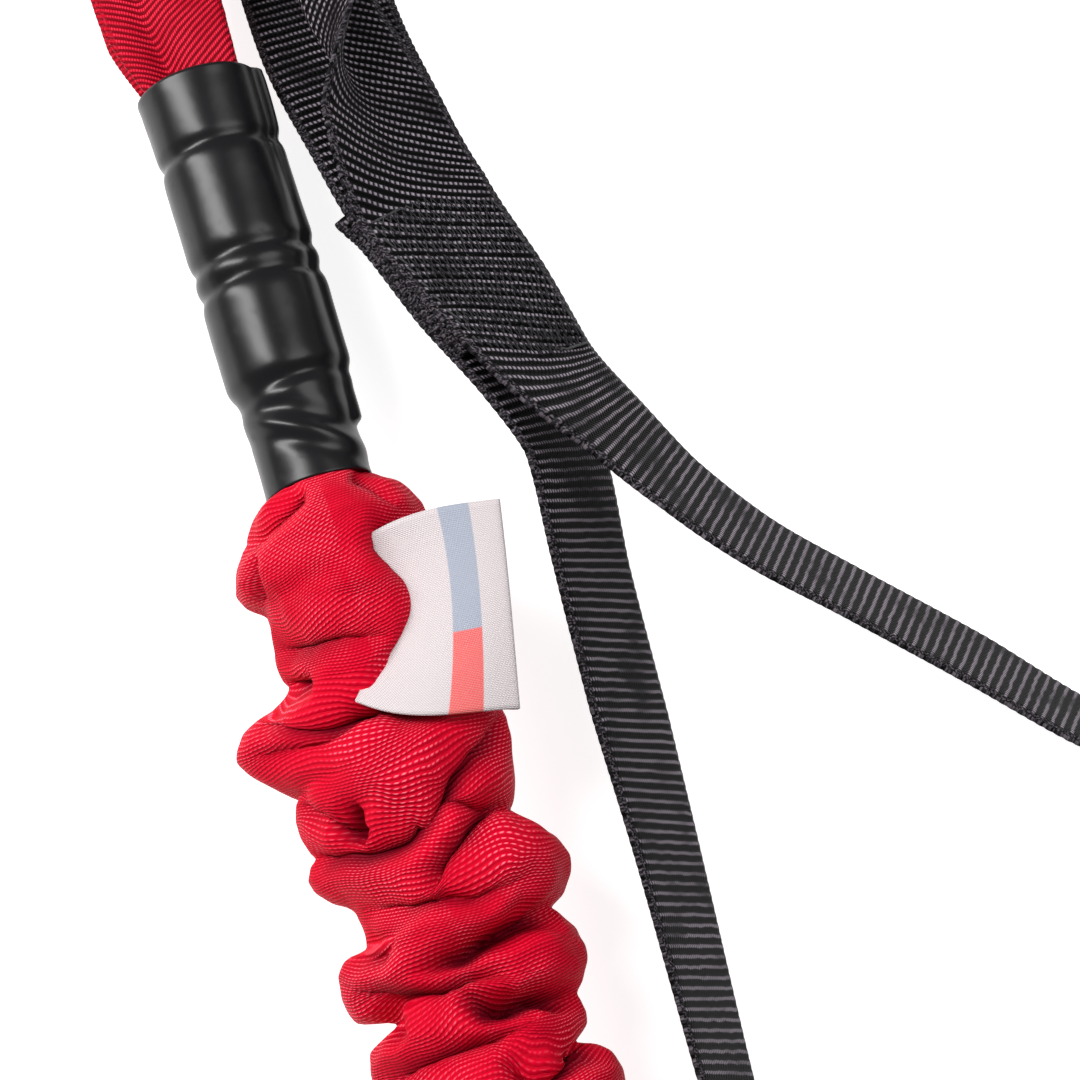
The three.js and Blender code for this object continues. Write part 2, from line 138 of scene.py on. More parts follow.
# ---- material nodes
class Value:
    """What a material node puts out, for plain arithmetic with other values and with numbers."""

    def __init__(self, surface, socket):
        self.math = surface.math
        self.socket = socket

    def __add__(self, other):
        return self.math("ADD", self, other)

    def __sub__(self, other):
        return self.math("SUBTRACT", self, other)

    def __rsub__(self, other):
        return self.math("SUBTRACT", other, self)

    def __mul__(self, other):
        return self.math("MULTIPLY", self, other)

    def __truediv__(self, other):
        return self.math("DIVIDE", self, other)


class Surface:
    """A Principled material whose nodes are added one at a time."""

    def __init__(self, name, **sockets):
        self.material = bpy.data.materials.new(name)
        self.material.use_nodes = True
        self.tree = self.material.node_tree
        self.shader = self.tree.nodes["Principled BSDF"]
        for socket, value in sockets.items():
            self.shader.inputs[socket.replace("_", " ")].default_value = value

    def add(self, kind, *values, **settings):
        """A node; values go to its inputs in order, a number as its value and a Value as a link."""
        node = self.tree.nodes.new("ShaderNode" + kind)
        for key, value in settings.items():
            setattr(node, key, value)
        for socket, value in zip(node.inputs, values):
            self.feed(socket, value)
        return node

    def feed(self, socket, value):
        if isinstance(value, Value):
            self.tree.links.new(value.socket, socket)
        else:
            socket.default_value = value

    def wire(self, node, **values):
        """The node with inputs set by name."""
        for name, value in values.items():
            self.feed(node.inputs[name], value)
        return node

    def out(self, node, name=0):
        return Value(self, node.outputs[name])

    def math(self, operation, *values):
        return self.out(self.add("Math", *values, operation=operation))

    def ramp(self, value, low, high):
        """0 below low, 1 above high, smooth between."""
        return self.out(self.add("MapRange", value, low, high, interpolation_type="SMOOTHSTEP"))

    def mix(self, factor, first, second):
        node = self.add("Mix", data_type="RGBA")
        return self.out(self.wire(node, Factor=factor, A=first, B=second), "Result")

    def noise(self, vector, scale, detail=2.0):
        return self.out(self.wire(self.add("TexNoise"), Vector=vector, Scale=scale, Detail=detail), "Fac")

    def uv(self):
        """The piece's own cloth coordinates in millimetres: across or round, along, and both together."""
        cloth = self.out(self.add("UVMap", uv_map="cloth"))
        parts = self.add("SeparateXYZ", cloth)
        return self.out(parts, "X"), self.out(parts, "Y"), cloth

    def place(self):
        return self.out(self.add("TexCoord"), "Object")

    def bump(self, height, distance, strength=1.0):
        node = self.wire(self.add("Bump"), Strength=strength, Distance=distance, Height=height)
        self.set("Normal", self.out(node))

    def set(self, socket, value):
        self.feed(self.shader.inputs[socket], value)


def plain_floor():
    surface = Surface("floor", Roughness=0.9, Specular_IOR_Level=0.1, Emission_Color=(1, 1, 1, 1),
                      Emission_Strength=FLOOR_GLOW)
    mottle = surface.noise(surface.place(), 3.0)
    surface.set("Base Color", surface.mix(mottle, *FLOOR_TONES))
    return surface.material


FLECK_TONE = 0.5  # how much painted light on a rib's crest follows the grain of its yarn
CREST_TONE = 0.3  # and how much of that painted light is even
RIB_SWAY = 0.35  # how far the ribs wander, as a share of their pitch
CREST_SPAN = 0.12, 0.42  # a rib rises from its gap to its crest over these shares of the pitch
DASH_SPAN = 0.08, 0.4
LEAST_SHOWN = 0.12  # how much of the painted highlight line is left in the plain patches
SELVEDGE_SHINE = 0.35
GLOSS = dict(Roughness=0.62, Specular_IOR_Level=0.06)


def ribbed_fabric(name, gap, band, line, pitch, dash, stagger, line_width, relief, twill, plain,
                  edge=None, ticking=0.45, shaded=False):
    """Ribbed narrow fabric: gaps of a darker colour as painted shade between the ribs, rib crests towards the
    band colour as painted light, and a painted highlight line along each crest, broken into dashes like its
    threads. pitch and dash are in mm; stagger shifts the dashes from rib to rib, twill slants them, and plain
    is the share of the cloth where they hardly show; edge is the half width at which plain selvedges begin;
    ticking is how strong the threads across a rib are; shaded paints shade into the mesh's creases."""
    surface = Surface(name, **GLOSS)
    across, along, cloth = surface.uv()
    rib = (along + (surface.noise(cloth, 0.35) - 0.5) * (RIB_SWAY * pitch)) / pitch
    height = surface.math("PINGPONG", rib, 0.5)
    # painted light and shade of the ribs: crests go towards the band colour, gaps keep the darker gap colour
    crest = surface.ramp(height, *CREST_SPAN)
    on_line = surface.ramp(height, 0.5 - line_width, 0.5 - line_width * 0.4)
    shifted = surface.math("FLOOR", rib) * stagger + rib * twill
    thread = surface.math("PINGPONG", across / dash + shifted, 0.5)
    dashes = surface.ramp(thread, *DASH_SPAN)
    patches = surface.ramp(surface.noise(cloth, 0.09, 3.0), plain - 0.12, plain + 0.15)
    # painted highlight: the line colour along each crest, in dashes, fading in the plain patches
    shown = on_line * dashes * (patches * (1 - LEAST_SHOWN) + LEAST_SHOWN)
    ticks = 0.75 * ticking - thread * (1.5 * ticking)
    if edge is not None:
        selvedge = surface.ramp(surface.math("ABSOLUTE", across), edge, edge + 0.4)
        braid = surface.ramp(surface.noise(cloth, 2.6, 1.0), 0.45, 0.7)
        shown = shown * (1.0 - selvedge) + braid * selvedge * SELVEDGE_SHINE
    lit = crest * (surface.noise(cloth, 2.2) * FLECK_TONE + ticks)
    colour = surface.mix(shown, surface.mix(lit + crest * CREST_TONE, gap, band), line)
    # painted shade: where the crease attribute is high the colour turns a darker red
    if shaded:
        crease = surface.out(surface.add("Attribute", attribute_name="crease"), "Fac")
        dark = (gap[0] * 0.25, gap[1], gap[2] * 0.5, 1)
        colour = surface.mix(surface.ramp(crease, 0.0, 0.9), colour, dark)
    surface.set("Base Color", colour)
    surface.bump(height * 2.0 + ticks, relief * MM)
    return surface.material


SHRINK_TONES = (0.002, 0.002, 0.0025, 1), (0.007, 0.0065, 0.008, 1)


def heat_shrink_plastic():
    surface = Surface("heat_shrink", Specular_IOR_Level=0.3)
    spot = surface.place()
    cloud = surface.noise(spot, 60.0, 4.0)
    surface.set("Base Color", surface.mix(cloud, *SHRINK_TONES))
    scuffs = surface.ramp(surface.noise(spot, 420.0, 3.0), 0.55, 0.8)
    surface.set("Roughness", scuffs * 0.12 + 0.3)
    surface.bump(surface.noise(spot, 130.0) + cloud * 2.0, 0.1 * MM, 0.6)
    return surface.material


LABEL_HEIGHT = 34
LABEL_REACH = 22  # from the seam to the label's fold
STRIPE_FROM, STRIPE_TO, STRIPE_TURN = 12.5, 17.5, 14.0
STRIPE_EDGE = 0.25
SATIN_PITCH, WEFT_PITCH = 0.42, 0.3
SATIN_TONES = (0.5, 0.43, 0.44, 1), (0.74, 0.68, 0.69, 1)
STRIPE_TONES = (0.78, 0.06, 0.05, 1), (0.3, 0.34, 0.43, 1)
STRIPE_WEFT = (0.66, 0.62, 0.64, 1)


def woven_satin():
    """Pale woven label with one plain stripe, blue-grey for most of its length and coral below."""
    surface = Surface("woven_label", Roughness=0.55, Sheen_Weight=0.3, Sheen_Roughness=0.3)
    across, along, _ = surface.uv()
    ridge = surface.math("PINGPONG", surface.math("FRACT", (across + along) / SATIN_PITCH), 0.5)
    thread = surface.math("PINGPONG", surface.math("FRACT", along / WEFT_PITCH), 0.5)
    pale = surface.mix(ridge * 2.0, *SATIN_TONES)
    begun = surface.ramp(across, STRIPE_FROM, STRIPE_FROM + STRIPE_EDGE)
    stripe = begun * surface.ramp(across, STRIPE_TO, STRIPE_TO - STRIPE_EDGE)
    turn = surface.ramp(along, STRIPE_TURN, STRIPE_TURN + STRIPE_EDGE)
    inked = surface.mix(thread * 0.6, surface.mix(turn, *STRIPE_TONES), STRIPE_WEFT)
    surface.set("Base Color", surface.mix(stripe, pale, inked))
    surface.bump(ridge + thread, 0.12 * MM)
    return surface.material


def forged_metal(name, low, high, rough, grain):
    surface = Surface(name, Metallic=1.0)
    spot = surface.place()
    cloud = surface.noise(spot, grain, 4.0)
    surface.set("Base Color", surface.mix(cloud, low, high))
    surface.set("Roughness", cloud * 0.2 + rough)
    surface.bump(surface.noise(spot, 900.0), 0.02 * MM, 0.5)
    return surface.material


def grainy(name, low, high, rough, scale, depth, sheen=0.0):
    """Foam, rubber or moulded plastic: two close tones with a fine pitted grain."""
    surface = Surface(name, Roughness=rough, Sheen_Weight=sheen)
    spot = surface.place()
    pits = surface.wire(surface.add("TexVoronoi"), Vector=spot, Scale=scale)
    surface.set("Base Color", surface.mix(surface.noise(spot, scale / 12), low, high))
    surface.bump(surface.out(pits, "Distance"), depth * MM, 0.7)
    return surface.material


# ---- mesh helpers
def add_object(name, points, faces, uv=None):
    """A mesh object from points in metres; uv is one pair for each corner of each face, in mm."""
    mesh = bpy.data.meshes.new(name)
    mesh.from_pydata(np.asarray(points).tolist(), [], np.asarray(faces).tolist())
    if uv is not None:
        layer = mesh.uv_layers.new(name="cloth")
        layer.data.foreach_set("uv", np.asarray(uv, np.float32).ravel())
    mesh.polygons.foreach_set("use_smooth", [True] * len(mesh.polygons))
    mesh.update()
    return new_object(name, mesh)


def cells(grid):
    """The values at the four corners of each cell of a grid."""
    corners = np.stack([grid[:-1, :-1], grid[:-1, 1:], grid[1:, 1:], grid[1:, :-1]], axis=2)
    return corners.reshape(-1, *corners.shape[2:])


def cloth_cells(u, v):
    """Cloth coordinates at the four corners of each cell, from their values at the grid's points."""
    return cells(np.stack(np.broadcast_arrays(u, v), axis=-1))


def loft(name, rings, round_mm, along_mm):
    """A skin over closed rings, an array [ring, point, xyz] in mm, closed at both ends; round_mm and
    along_mm are its cloth coordinates, [ring, point + 1] and [ring, point]."""
    index = np.arange(rings.size // 3).reshape(rings.shape[:2])
    index, along_mm = (np.pad(grid, ((0, 0), (0, 1)), mode="wrap") for grid in (index, along_mm))
    thing = add_object(name, place(rings.reshape(-1, 3)), cells(index), cloth_cells(round_mm, along_mm))
    close_up(thing)
    return thing


def close_up(thing):
    """Fills the holes that a mesh has and turns all its faces outwards."""
    shape = bmesh.new()
    shape.from_mesh(thing.data)
    open_edges = [edge for edge in shape.edges if edge.is_boundary]
    if open_edges:
        bmesh.ops.holes_fill(shape, edges=open_edges, sides=0)
    bmesh.ops.recalc_face_normals(shape, faces=shape.faces)
    shape.to_mesh(thing.data)
    shape.free()


def torus_faces(rows, columns):
    """Faces over a grid of points that closes on itself both ways."""
    index = np.pad(np.arange(rows * columns).reshape(rows, columns), (0, 1), mode="wrap")
    return cells(index)[:, [0, 3, 2, 1]]


def turned(name, outline, segments, axis_point, axis, steps=6):
    """A closed ring of revolution from its outline of [radius, distance] corners, in mm, about an axis."""
    corners = np.array([*outline, outline[0]], float)
    fine = np.concatenate([np.linspace(a, b, steps, endpoint=False) for a, b in zip(corners, corners[1:])])
    side = unit(np.cross(axis, (0, 0, 1.0)))
    up = np.cross(side, axis)
    angle = full_turn(segments)
    spoke = np.cos(angle)[:, None] * side + np.sin(angle)[:, None] * up
    radius, distance = fine[None, :, :1], fine[None, :, 1:]
    points = axis_point + distance * axis + radius * spoke[:, None, :]
    thing = add_object(name, place(points.reshape(-1, 3)), torus_faces(segments, len(fine)))
    close_up(thing)
    return thing


def finish_piece(thing, material, slot, body, *nodes):
    """Gives a piece its material and the body it rides on, and hides the CAD nodes that it stands for."""
    thing.data.materials.clear()
    thing.data.materials.append(material)
    if body:
        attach(thing, body)
    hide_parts(*nodes)


def smooth_step(value, low, high):
    share = np.clip((value - low) / (high - low), 0, 1)
    return share * share * (3 - 2 * share)


def far_side(rings):
    """The same shape at the tether's other end: turned half round about the middle of the sleeve."""
    return rings * (-1, -1, 1) + (0, -SLEEVE_LENGTH, 0)


def catmull(stations, step):
    """Even places along a smooth curve through stations: their points, tangents, fractional station numbers
    and distances along it."""
    stations = np.asarray(stations, float)
    ends = 2 * stations[0] - stations[1], 2 * stations[-1] - stations[-2]
    knots = np.vstack([ends[0], stations, ends[1]])
    gaps = np.sqrt(np.linalg.norm(np.diff(knots, axis=0), axis=1))
    fine, number = [], []
    for k in range(1, len(knots) - 2):
        before, here, after = gaps[k - 1], gaps[k], gaps[k + 1]
        p0, p1, p2, p3 = knots[k - 1:k + 3]
        start = ((p1 - p0) / before - (p2 - p0) / (before + here) + (p2 - p1) / here) * here
        end = ((p2 - p1) / here - (p3 - p1) / (here + after) + (p3 - p2) / after) * here
        t = np.linspace(0, 1, 60, endpoint=False)[:, None]
        fine.append((2 * t**3 - 3 * t**2 + 1) * p1 + (t**3 - 2 * t**2 + t) * start
                    + (3 * t**2 - 2 * t**3) * p2 + (t**3 - t**2) * end)
        number.append(k - 1 + t[:, 0])
    fine = np.vstack([*fine, stations[-1:]])
    number = np.append(np.concatenate(number), len(stations) - 1)
    length = np.concatenate([[0], np.cumsum(np.linalg.norm(np.diff(fine, axis=0), axis=1))])
    wanted = np.linspace(0, length[-1], int(round(length[-1] / step)) + 1)
    points = np.stack([np.interp(wanted, length, fine[:, i]) for i in range(3)], axis=1)
    return points, unit(np.gradient(points, axis=0)), np.interp(wanted, length, number), wanted


def by_station(rows, number):
    """The values of rows, one row a station, at fractional station numbers."""
    return np.stack([np.interp(number, np.arange(len(rows)), column) for column in rows.T], axis=1)


def unit(vectors):
    return vectors / np.linalg.norm(vectors, axis=-1, keepdims=True)


def full_turn(count):
    return np.linspace(0, 2 * math.pi, count, endpoint=False)


def from_outline(outline, y, span=5):
    """An outline's distances from the centre line at places y, averaged over span places."""
    table = np.array(sorted(outline))
    value = np.interp(y, table[:, 0], table[:, 1])
    kernel = np.hanning(span)
    return np.convolve(np.pad(value, span // 2, mode="edge"), kernel / kernel.sum(), "valid")


# ---- the gathered sleeve
# Places on the sleeve and label are read as the camera sees them, in mm from the sleeve's upper end,
# X across and Y along the tether. lift() gives where such a point is once its height is known.
LEAN = np.array([math.sin(CAMERA_ROLL), math.cos(CAMERA_ROLL)]) / math.tan(CAMERA_ELEVATION)

# The sleeve's left and right outlines: distance along Y, and distance from the centre line.
LEFT_OUTLINE = [
    (0.6, 7.7), (0.3, 9.5), (-0.6, 10.9), (-2, 12.3), (-4.5, 13.7), (-5.5, 13.9), (-6.2, 15), (-9, 17),
    (-12.5, 18), (-15, 17.2), (-16.6, 15), (-17.2, 14.5), (-20, 14.5), (-24, 14.4), (-26.5, 14.9),
    (-28.3, 14.7), (-29.7, 13.9), (-31, 15), (-33, 18), (-33.6, 20), (-35, 23), (-37.5, 25), (-38.8, 25.3),
    (-41, 24), (-44, 21), (-46, 19), (-47.2, 17.2), (-48.3, 18.5), (-50.5, 19.2), (-53.5, 19),
    (-56.3, 18.2), (-56.9, 17.4), (-57.7, 18.8), (-60, 19.9), (-62.5, 19.3), (-64.6, 17), (-65.7, 15),
    (-67.2, 13.8), (-69, 13.5), (-71, 13.7), (-73.1, 14), (-73.6, 15.5), (-74.2, 18), (-76.5, 20),
    (-79, 20.3), (-81.5, 19.8), (-83.5, 18.5), (-84.4, 16), (-84.9, 13), (-86, 12.9), (-86.5, 15),
    (-88.2, 18), (-91, 19), (-94, 18.8), (-96.5, 17), (-97.5, 14.5),
]
RIGHT_OUTLINE = [
    (0.6, 7.7), (0.1, 9.0), (-1.3, 10.2), (-3, 12.3), (-5.3, 14), (-7.4, 15.2), (-12, 15.6), (-20, 15.4),
    (-28, 13.8), (-35, 13.4), (-40, 15.6), (-43, 17.3), (-45, 17.6), (-48, 17.2), (-51, 16.5),
    (-54.5, 15.8), (-57.5, 15), (-58.7, 13.8), (-59.3, 14.6), (-61.5, 16.5), (-65, 19), (-68.5, 20.3),
    (-71.5, 19.5), (-74, 17.5), (-75.3, 15), (-76.8, 16.3), (-79.5, 18), (-82.5, 18.4), (-85.5, 17.8),
    (-88.2, 16), (-89.1, 14.8), (-90.3, 15.3), (-92.5, 15.7), (-94.5, 15.2), (-95.8, 13.5),
    (-96.7, 11.8), (-97.2, 13.4), (-98, 15.5), (-100, 17.8), (-102.5, 18.4), (-105.5, 17.8), (-108, 16),
    (-109, 13.5),
]
TOP_OUTLINE = [
    (0.6, 7.7), (0.1, 9.2), (-1, 11.5), (-4, 14.2), (-8, 15.8), (-14, 16.8), (-20, 17.2), (-26, 16.2),
    (-32, 15.0), (-38, 14.8), (-44, 16.8), (-50, 16.4), (-58, 16.0), (-64, 16.2), (-70, 16.2), (-80, 15.8),
    (-90, 15.6), (-98, 15.8),
]
# Creases over the face of the sleeve: how wide the cloth rounds into each, which lip hangs over it (1 the
# upper, -1 the lower), and its points (x, y, depth).
CREASES = [
    (3.0, 1, [(-3.5, -0.6, 3.6), (-8, -3, 3.4), (-13, -5.2, 2.8), (-18, -6, 1.5)]),
    (2.2, 0, [(7.5, 0.4, 2.5), (9.5, -1.6, 2.6), (11.5, -4.5, 2.2), (13.5, -7.5, 1.0)]),
    (2.5, 0, [(-13.0, -6, 1.5), (-13.8, -10, 2.8), (-14.4, -14, 2.8), (-15.5, -17.4, 1.5)]),
    (6.0, 1, [(-18, -24.6, 1.2), (-10, -22.8, 3.0), (-4, -22.8, 2.6), (1, -24.2, 1.6), (6, -25.8, 0.4)]),
    (3.0, 1, [(-18, -28.8, 2.5), (-11.5, -28.8, 4.5), (-9.3, -28.7, 0.3)]),
    (6.5, 1, [(-22, -33.4, 1.0), (-15, -35.2, 3.6), (-10, -36, 5.2), (-5, -35.6, 6.0), (-1, -35.8, 5.6),
              (3, -34.5, 2.0)]),
    (5.0, 0, [(-1, -35.2, 4.0), (5, -30.8, 5.2), (9, -28.4, 5.2), (12.2, -25, 5.0), (13.2, -21, 5.0),
              (12.3, -17, 4.6), (10.3, -13.5, 4.0), (8.2, -10.6, 3.2), (10.5, -8.6, 1.8), (14, -7.6, 0.8)]),
    (7.0, 0, [(0, -37, 2.5), (5, -36.5, 4.5), (10, -36, 4.5), (14, -34, 3.5), (17, -30, 1.5)]),
    (4.5, -1, [(-25, -38.5, 1.0), (-20, -38.4, 2.0), (-14, -39.4, 2.8), (-8, -38.6, 2.8), (-2, -37.2, 2.6)]),
    (4.5, 1, [(-22, -47.2, 1.5), (-17, -48.6, 2.6), (-14, -50.2, 1.4)]),
    (3.4, 0, [(-14.6, -50.4, 1.2), (-12.2, -51.6, 7.0), (-10.4, -50.6, 6.4), (-8.4, -49.8, 1.6),
              (-6, -49.4, 0.5)]),
    (7.0, 1, [(22, -42, 1.0), (14, -45.8, 4.2), (8, -48.8, 5.2), (4, -51.4, 5.4), (0, -53.8, 6.0),
              (-4, -55.4, 6.0), (-8, -56.1, 5.6), (-13, -56.3, 4.6), (-22, -56.9, 2.2)]),
    (4.5, 1, [(2, -52.6, 3.0), (7, -53.4, 2.4), (12, -56, 2.8), (17, -58.6, 2.6)]),
    (6.0, -1, [(20, -58.6, 2.0), (13, -58.7, 4.4), (9, -59.9, 5.2), (5, -61.5, 4.6), (2, -63, 3.2),
               (-1, -64.2, 1.2), (-5, -65, 0.2)]),
    (4.5, 1, [(-11, -66.2, 0.8), (-5, -66.5, 2.8), (0, -67, 3.4), (6, -67.6, 3.2), (11, -68, 1.8),
              (15, -68.4, 0.3)]),
    (3.6, 0, [(-8, -77.2, 0.8), (-3, -76.8, 4.0), (0, -76.5, 7.0), (5, -75.6, 8.0), (10, -75.3, 8.0),
              (16, -75.4, 5.5), (20, -75.4, 2.0)]),
    (4.0, 0, [(-20, -73.2, 1.5), (-14, -73.4, 3.4), (-11, -72.2, 2.2), (-9, -70.5, 0.4)]),
    (5.5, -1, [(-18, -77.4, 0.8), (-13.5, -79.8, 3.4), (-10, -80.9, 4.4), (-5, -81.9, 4.8), (-2, -81.2, 3.6),
               (3, -80.6, 2.4), (8, -81.6, 0.4)]),
    (4.0, 0, [(-22, -85.2, 2.0), (-14, -85.4, 3.4), (-11, -84.9, 0.6)]),
    (3.8, 0, [(-2.5, -83.2, 0.6), (0, -85, 4.0), (3, -86, 7.0), (7, -86.5, 8.0), (11, -86.6, 6.5),
              (14, -88.2, 4.6), (20, -89.4, 2.2)]),
    (5.5, -1, [(-22, -93.8, 0.8), (-13, -92, 3.4), (-8, -91, 4.2), (-2, -90.4, 4.2), (4, -90.2, 2.6),
               (8, -89.6, 0.6)]),
    (4.5, 1, [(1, -94.6, 0.4), (5, -96, 3.2), (8, -97.7, 6.0), (12, -96.8, 5.0), (20, -96.9, 2.2)]),
    (5.5, 1, [(-22, -97.6, 1.5), (-14, -98.4, 4.0), (-7, -100.5, 4.6), (0, -102.5, 4.0), (6, -104.5, 1.6)]),
]
# Which way the ribs slope at places on the sleeve's face: x, y and the slope.
RIB_SLOPES = [
    (-9, -6, 0.5), (-2, -4, 0.45), (5, -3, 0.1), (11, -5, -0.6), (-7, -14, 0.45), (4, -12, 0.45),
    (-9, -20, 0.4), (2, -20, 0.4), (9, -20, 0.3), (-12, -27, 0.1), (-8, -29, -0.7), (-3, -30, -0.9),
    (3, -30, -0.6), (-9, -32, -0.6),
    (-3, -33, -1.0), (-20, -40, 0.35), (-10, -43, 0.5), (0, -44, 0.9), (7, -45, 1.1),
    (-15, -46, 0.1), (-5, -51, -0.1), (3, -50, 0.35), (14, -53, 0.35), (-15, -53, -0.5), (-12, -58.5, -0.1),
    (-4, -57.5, 0.0), (2, -58, -1.2), (7, -57, -1.1), (11, -57, -0.8), (-6, -61, -0.2), (3, -63.5, 0.3),
    (9, -62, 0.45), (16, -63, -0.6), (18, -68, -0.3), (-8, -69.5, 0.08), (2, -69.7, 0.02), (13, -71, -0.25),
    (-12, -72, 0.7), (-4, -73, -0.1), (5, -73, -0.4), (-17, -78, -0.2), (-10, -77.5, -0.15), (-3, -79, 0.3),
    (4, -78, 0.55), (10, -79, 0.35), (16, -81, 0.1), (-9, -83.5, 0.15), (-3, -83.5, 0.25), (3, -83, -0.5),
    (10, -85, -0.1), (-10, -88.5, 0.2), (-3, -88, 0.7), (6, -88.5, 0.3), (13, -91, 0.3), (-9, -94.5, 0.4),
    (-1, -93, 0.0), (6, -93, -0.9), (12, -94, -0.4), (2, -98, -0.25), (14, -101, 0.0), (-8, -104, 0.3),
    (6, -108, -0.3),
]
SLOPE_GAIN = 1.45  # makes up for what the smoothing of the ribs takes away
SLOPE_REACH_X, SLOPE_REACH_Y = 3.2, 2.0  # how far each of those slopes holds
LEVEL_WEIGHT = 0.02  # far from all of them the ribs run level
SLEEVE_R = 15.0  # the cloth round the sleeve is as long as a circle of this radius
CORE_SPACE = 5.2  # the cloth is never carved nearer the centre line than this
NECK_R = 7.6
NECK_IN = 12.0  # how far the sleeve runs on under each heat-shrink
SLEEVE_AROUND = 144
SLEEVE_STEP = 0.45
FLOOR_CLEARANCE = 0.3
FLOOR_SOFT = 3.0  # the cloth flattens over this height above it
HANG = 2.4  # how far a lip hangs over its crease
LUMPS = [(8, 1, 0.7), (3.6, 2, 0.3)]  # the cloth's unevenness: size of its lumps, random seed, height
DEEPEN = 1.45  # makes up for what the smoothing of the creases takes away
CREASE_STEP = 0.8
LIP_SHADE, OPEN_SHADE = 0.55, 0.8  # how much painted shade a lip above its crease gets, and a crease without a lip


def lift(x, y, z):
    """The place of a point seen at x, y whose height is z."""
    return np.stack([x - LEAN[0] * (z - AXIS_Z), y - LEAN[1] * (z - AXIS_Z), z], axis=-1)


def field(points, scale, seed):
    """Smooth random vectors at points in mm, the same on every run; scale is the size of its lumps in mm."""
    noise.seed_set(seed)
    return np.array([noise.noise_vector(Vector(p) / scale) for p in points.tolist()])


LOBE_LENGTHS, LOBE_CRESTS, LOBE_NOTCHES = (7.5, 14.5), (16.4, 20.4), (12.6, 14.4)
LOBE_ROUNDNESS = 0.55


def more_lobes(rng, start):
    """Outline points of made-up lobes from start to the sleeve's end, and the notches between them."""
    points, notches, y = [], [], start
    end = -SLEEVE_LENGTH + 2
    while y - 6 > end:
        length = min(rng.uniform(*LOBE_LENGTHS), y - end)
        crest, notch = rng.uniform(*LOBE_CRESTS), rng.uniform(*LOBE_NOTCHES)
        for t in np.linspace(0.04, 0.96, 9):
            points.append((y - length * t, notch + (crest - notch) * math.sin(math.pi * t) ** LOBE_ROUNDNESS))
        y -= length
        notches.append(y)
    points += [(-SLEEVE_LENGTH - 0.2, 9.4), (-SLEEVE_LENGTH - 0.6, NECK_R)]
    return points, notches


CREASE_X = (-22, -14, -8, -3, 2, 7, 12, 20)  # where a crease's points lie, from the sleeve's left to right
SHORT_CREASE_X = (21, 14, 9, 4, -1, -6)  # and where those of a crease from the right do
CREASE_DEPTHS, SHORT_DEPTHS = (3.2, 5.8), (3.8, 6.0)
CREASE_WIDTHS, SHORT_WIDTHS = (4.5, 6.5), (4.0, 6.0)
FADING_SHARE = 0.45


def more_creases(rng, left, right):
    """Made-up creases: each left notch runs over the face to a right one, some fading half way."""
    creases = []
    for y in left:
        mate = min(right, key=lambda other: abs(other - y + rng.uniform(-5, 5)))
        fades = rng.random() < FADING_SHARE
        points = []
        for x in CREASE_X:
            share = (x - CREASE_X[0]) / (CREASE_X[-1] - CREASE_X[0])
            depth = rng.uniform(*CREASE_DEPTHS) * (max(0.0, 1 - share * 1.5) if fades else 1)
            points.append((x, y + (mate - y) * share + rng.uniform(-1.1, 1.1), max(depth, 0.05)))
        creases.append((rng.uniform(*CREASE_WIDTHS), rng.choice((1, 1, -1)), points))
    for y in right:
        points = []
        for k, x in enumerate(SHORT_CREASE_X):
            points.append((x, y + k * rng.uniform(-1.6, 1.2), rng.uniform(*SHORT_DEPTHS) * (1 - k / 5.2)))
        creases.append((rng.uniform(*SHORT_WIDTHS), rng.choice((1, -1)), points))
    return creases


def crease_cut(x, y, width, hangs, points):
    """What one crease does at places x, y: how deep it cuts, how far its hanging lip moves over it, and how
    much painted shade it puts into the cloth's colour for the light it keeps out."""
    depth, shift, shade = np.zeros_like(x), np.zeros((len(x), 2)), np.zeros_like(x)
    table = np.array(points, float)
    knots, tangents, number = catmull(table * (1, 1, 0), CREASE_STEP)[:3]
    deep = by_station(table, number)[:, 2]
    near = np.flatnonzero((y < knots[:, 1].max() + width + 1) & (y > knots[:, 1].min() - width - 1))
    if not len(near):
        return depth, shift, shade
    offset = np.stack([x[near], y[near]], axis=-1)[:, None, :] - knots[None, :, :2]
    gap = np.linalg.norm(offset, axis=-1)
    closest = gap.argmin(axis=1)
    pick = np.arange(len(near))
    away, gap, deep = offset[pick, closest], gap[pick, closest], deep[closest]
    reach = np.clip(1 - gap / width, 0, 1)
    rounded = 1 - np.sqrt(np.clip(1 - reach ** 2, 0, 1))
    depth[near] = deep * (0.5 * rounded + 0.5 * reach ** 1.5) * DEEPEN
    side = np.array([-1.0, 1.0]) * tangents[closest][:, [1, 0]]
    side *= np.where(side[:, 1:] < 0, -1, 1)
    above = (away * side).sum(axis=1) * hangs
    pull = HANG * width * (1 - reach) * reach ** 1.5 * np.clip(deep / 4, 0, 1)
    shift[near] = -np.where(above > 0, pull, 0)[:, None] * side * hangs
    under_lip = np.where(above > 0, LIP_SHADE, 1.0) if hangs else OPEN_SHADE
    # painted shade: strongest down in the crease, weaker on the lip above it
    shade[near] = under_lip * np.clip((deep - 0.6) / 4.5, 0, 1) * smooth_step(reach, 0.25, 1.0)
    return depth, shift, shade


SIDE_BLEND = 0.35  # how gradually the left outline gives way to the right one, in sines
FACE_SPAN = 0.12, 0.5  # creases fade over these cosines towards the sleeve's sides
SLEEVE_SEED = 11


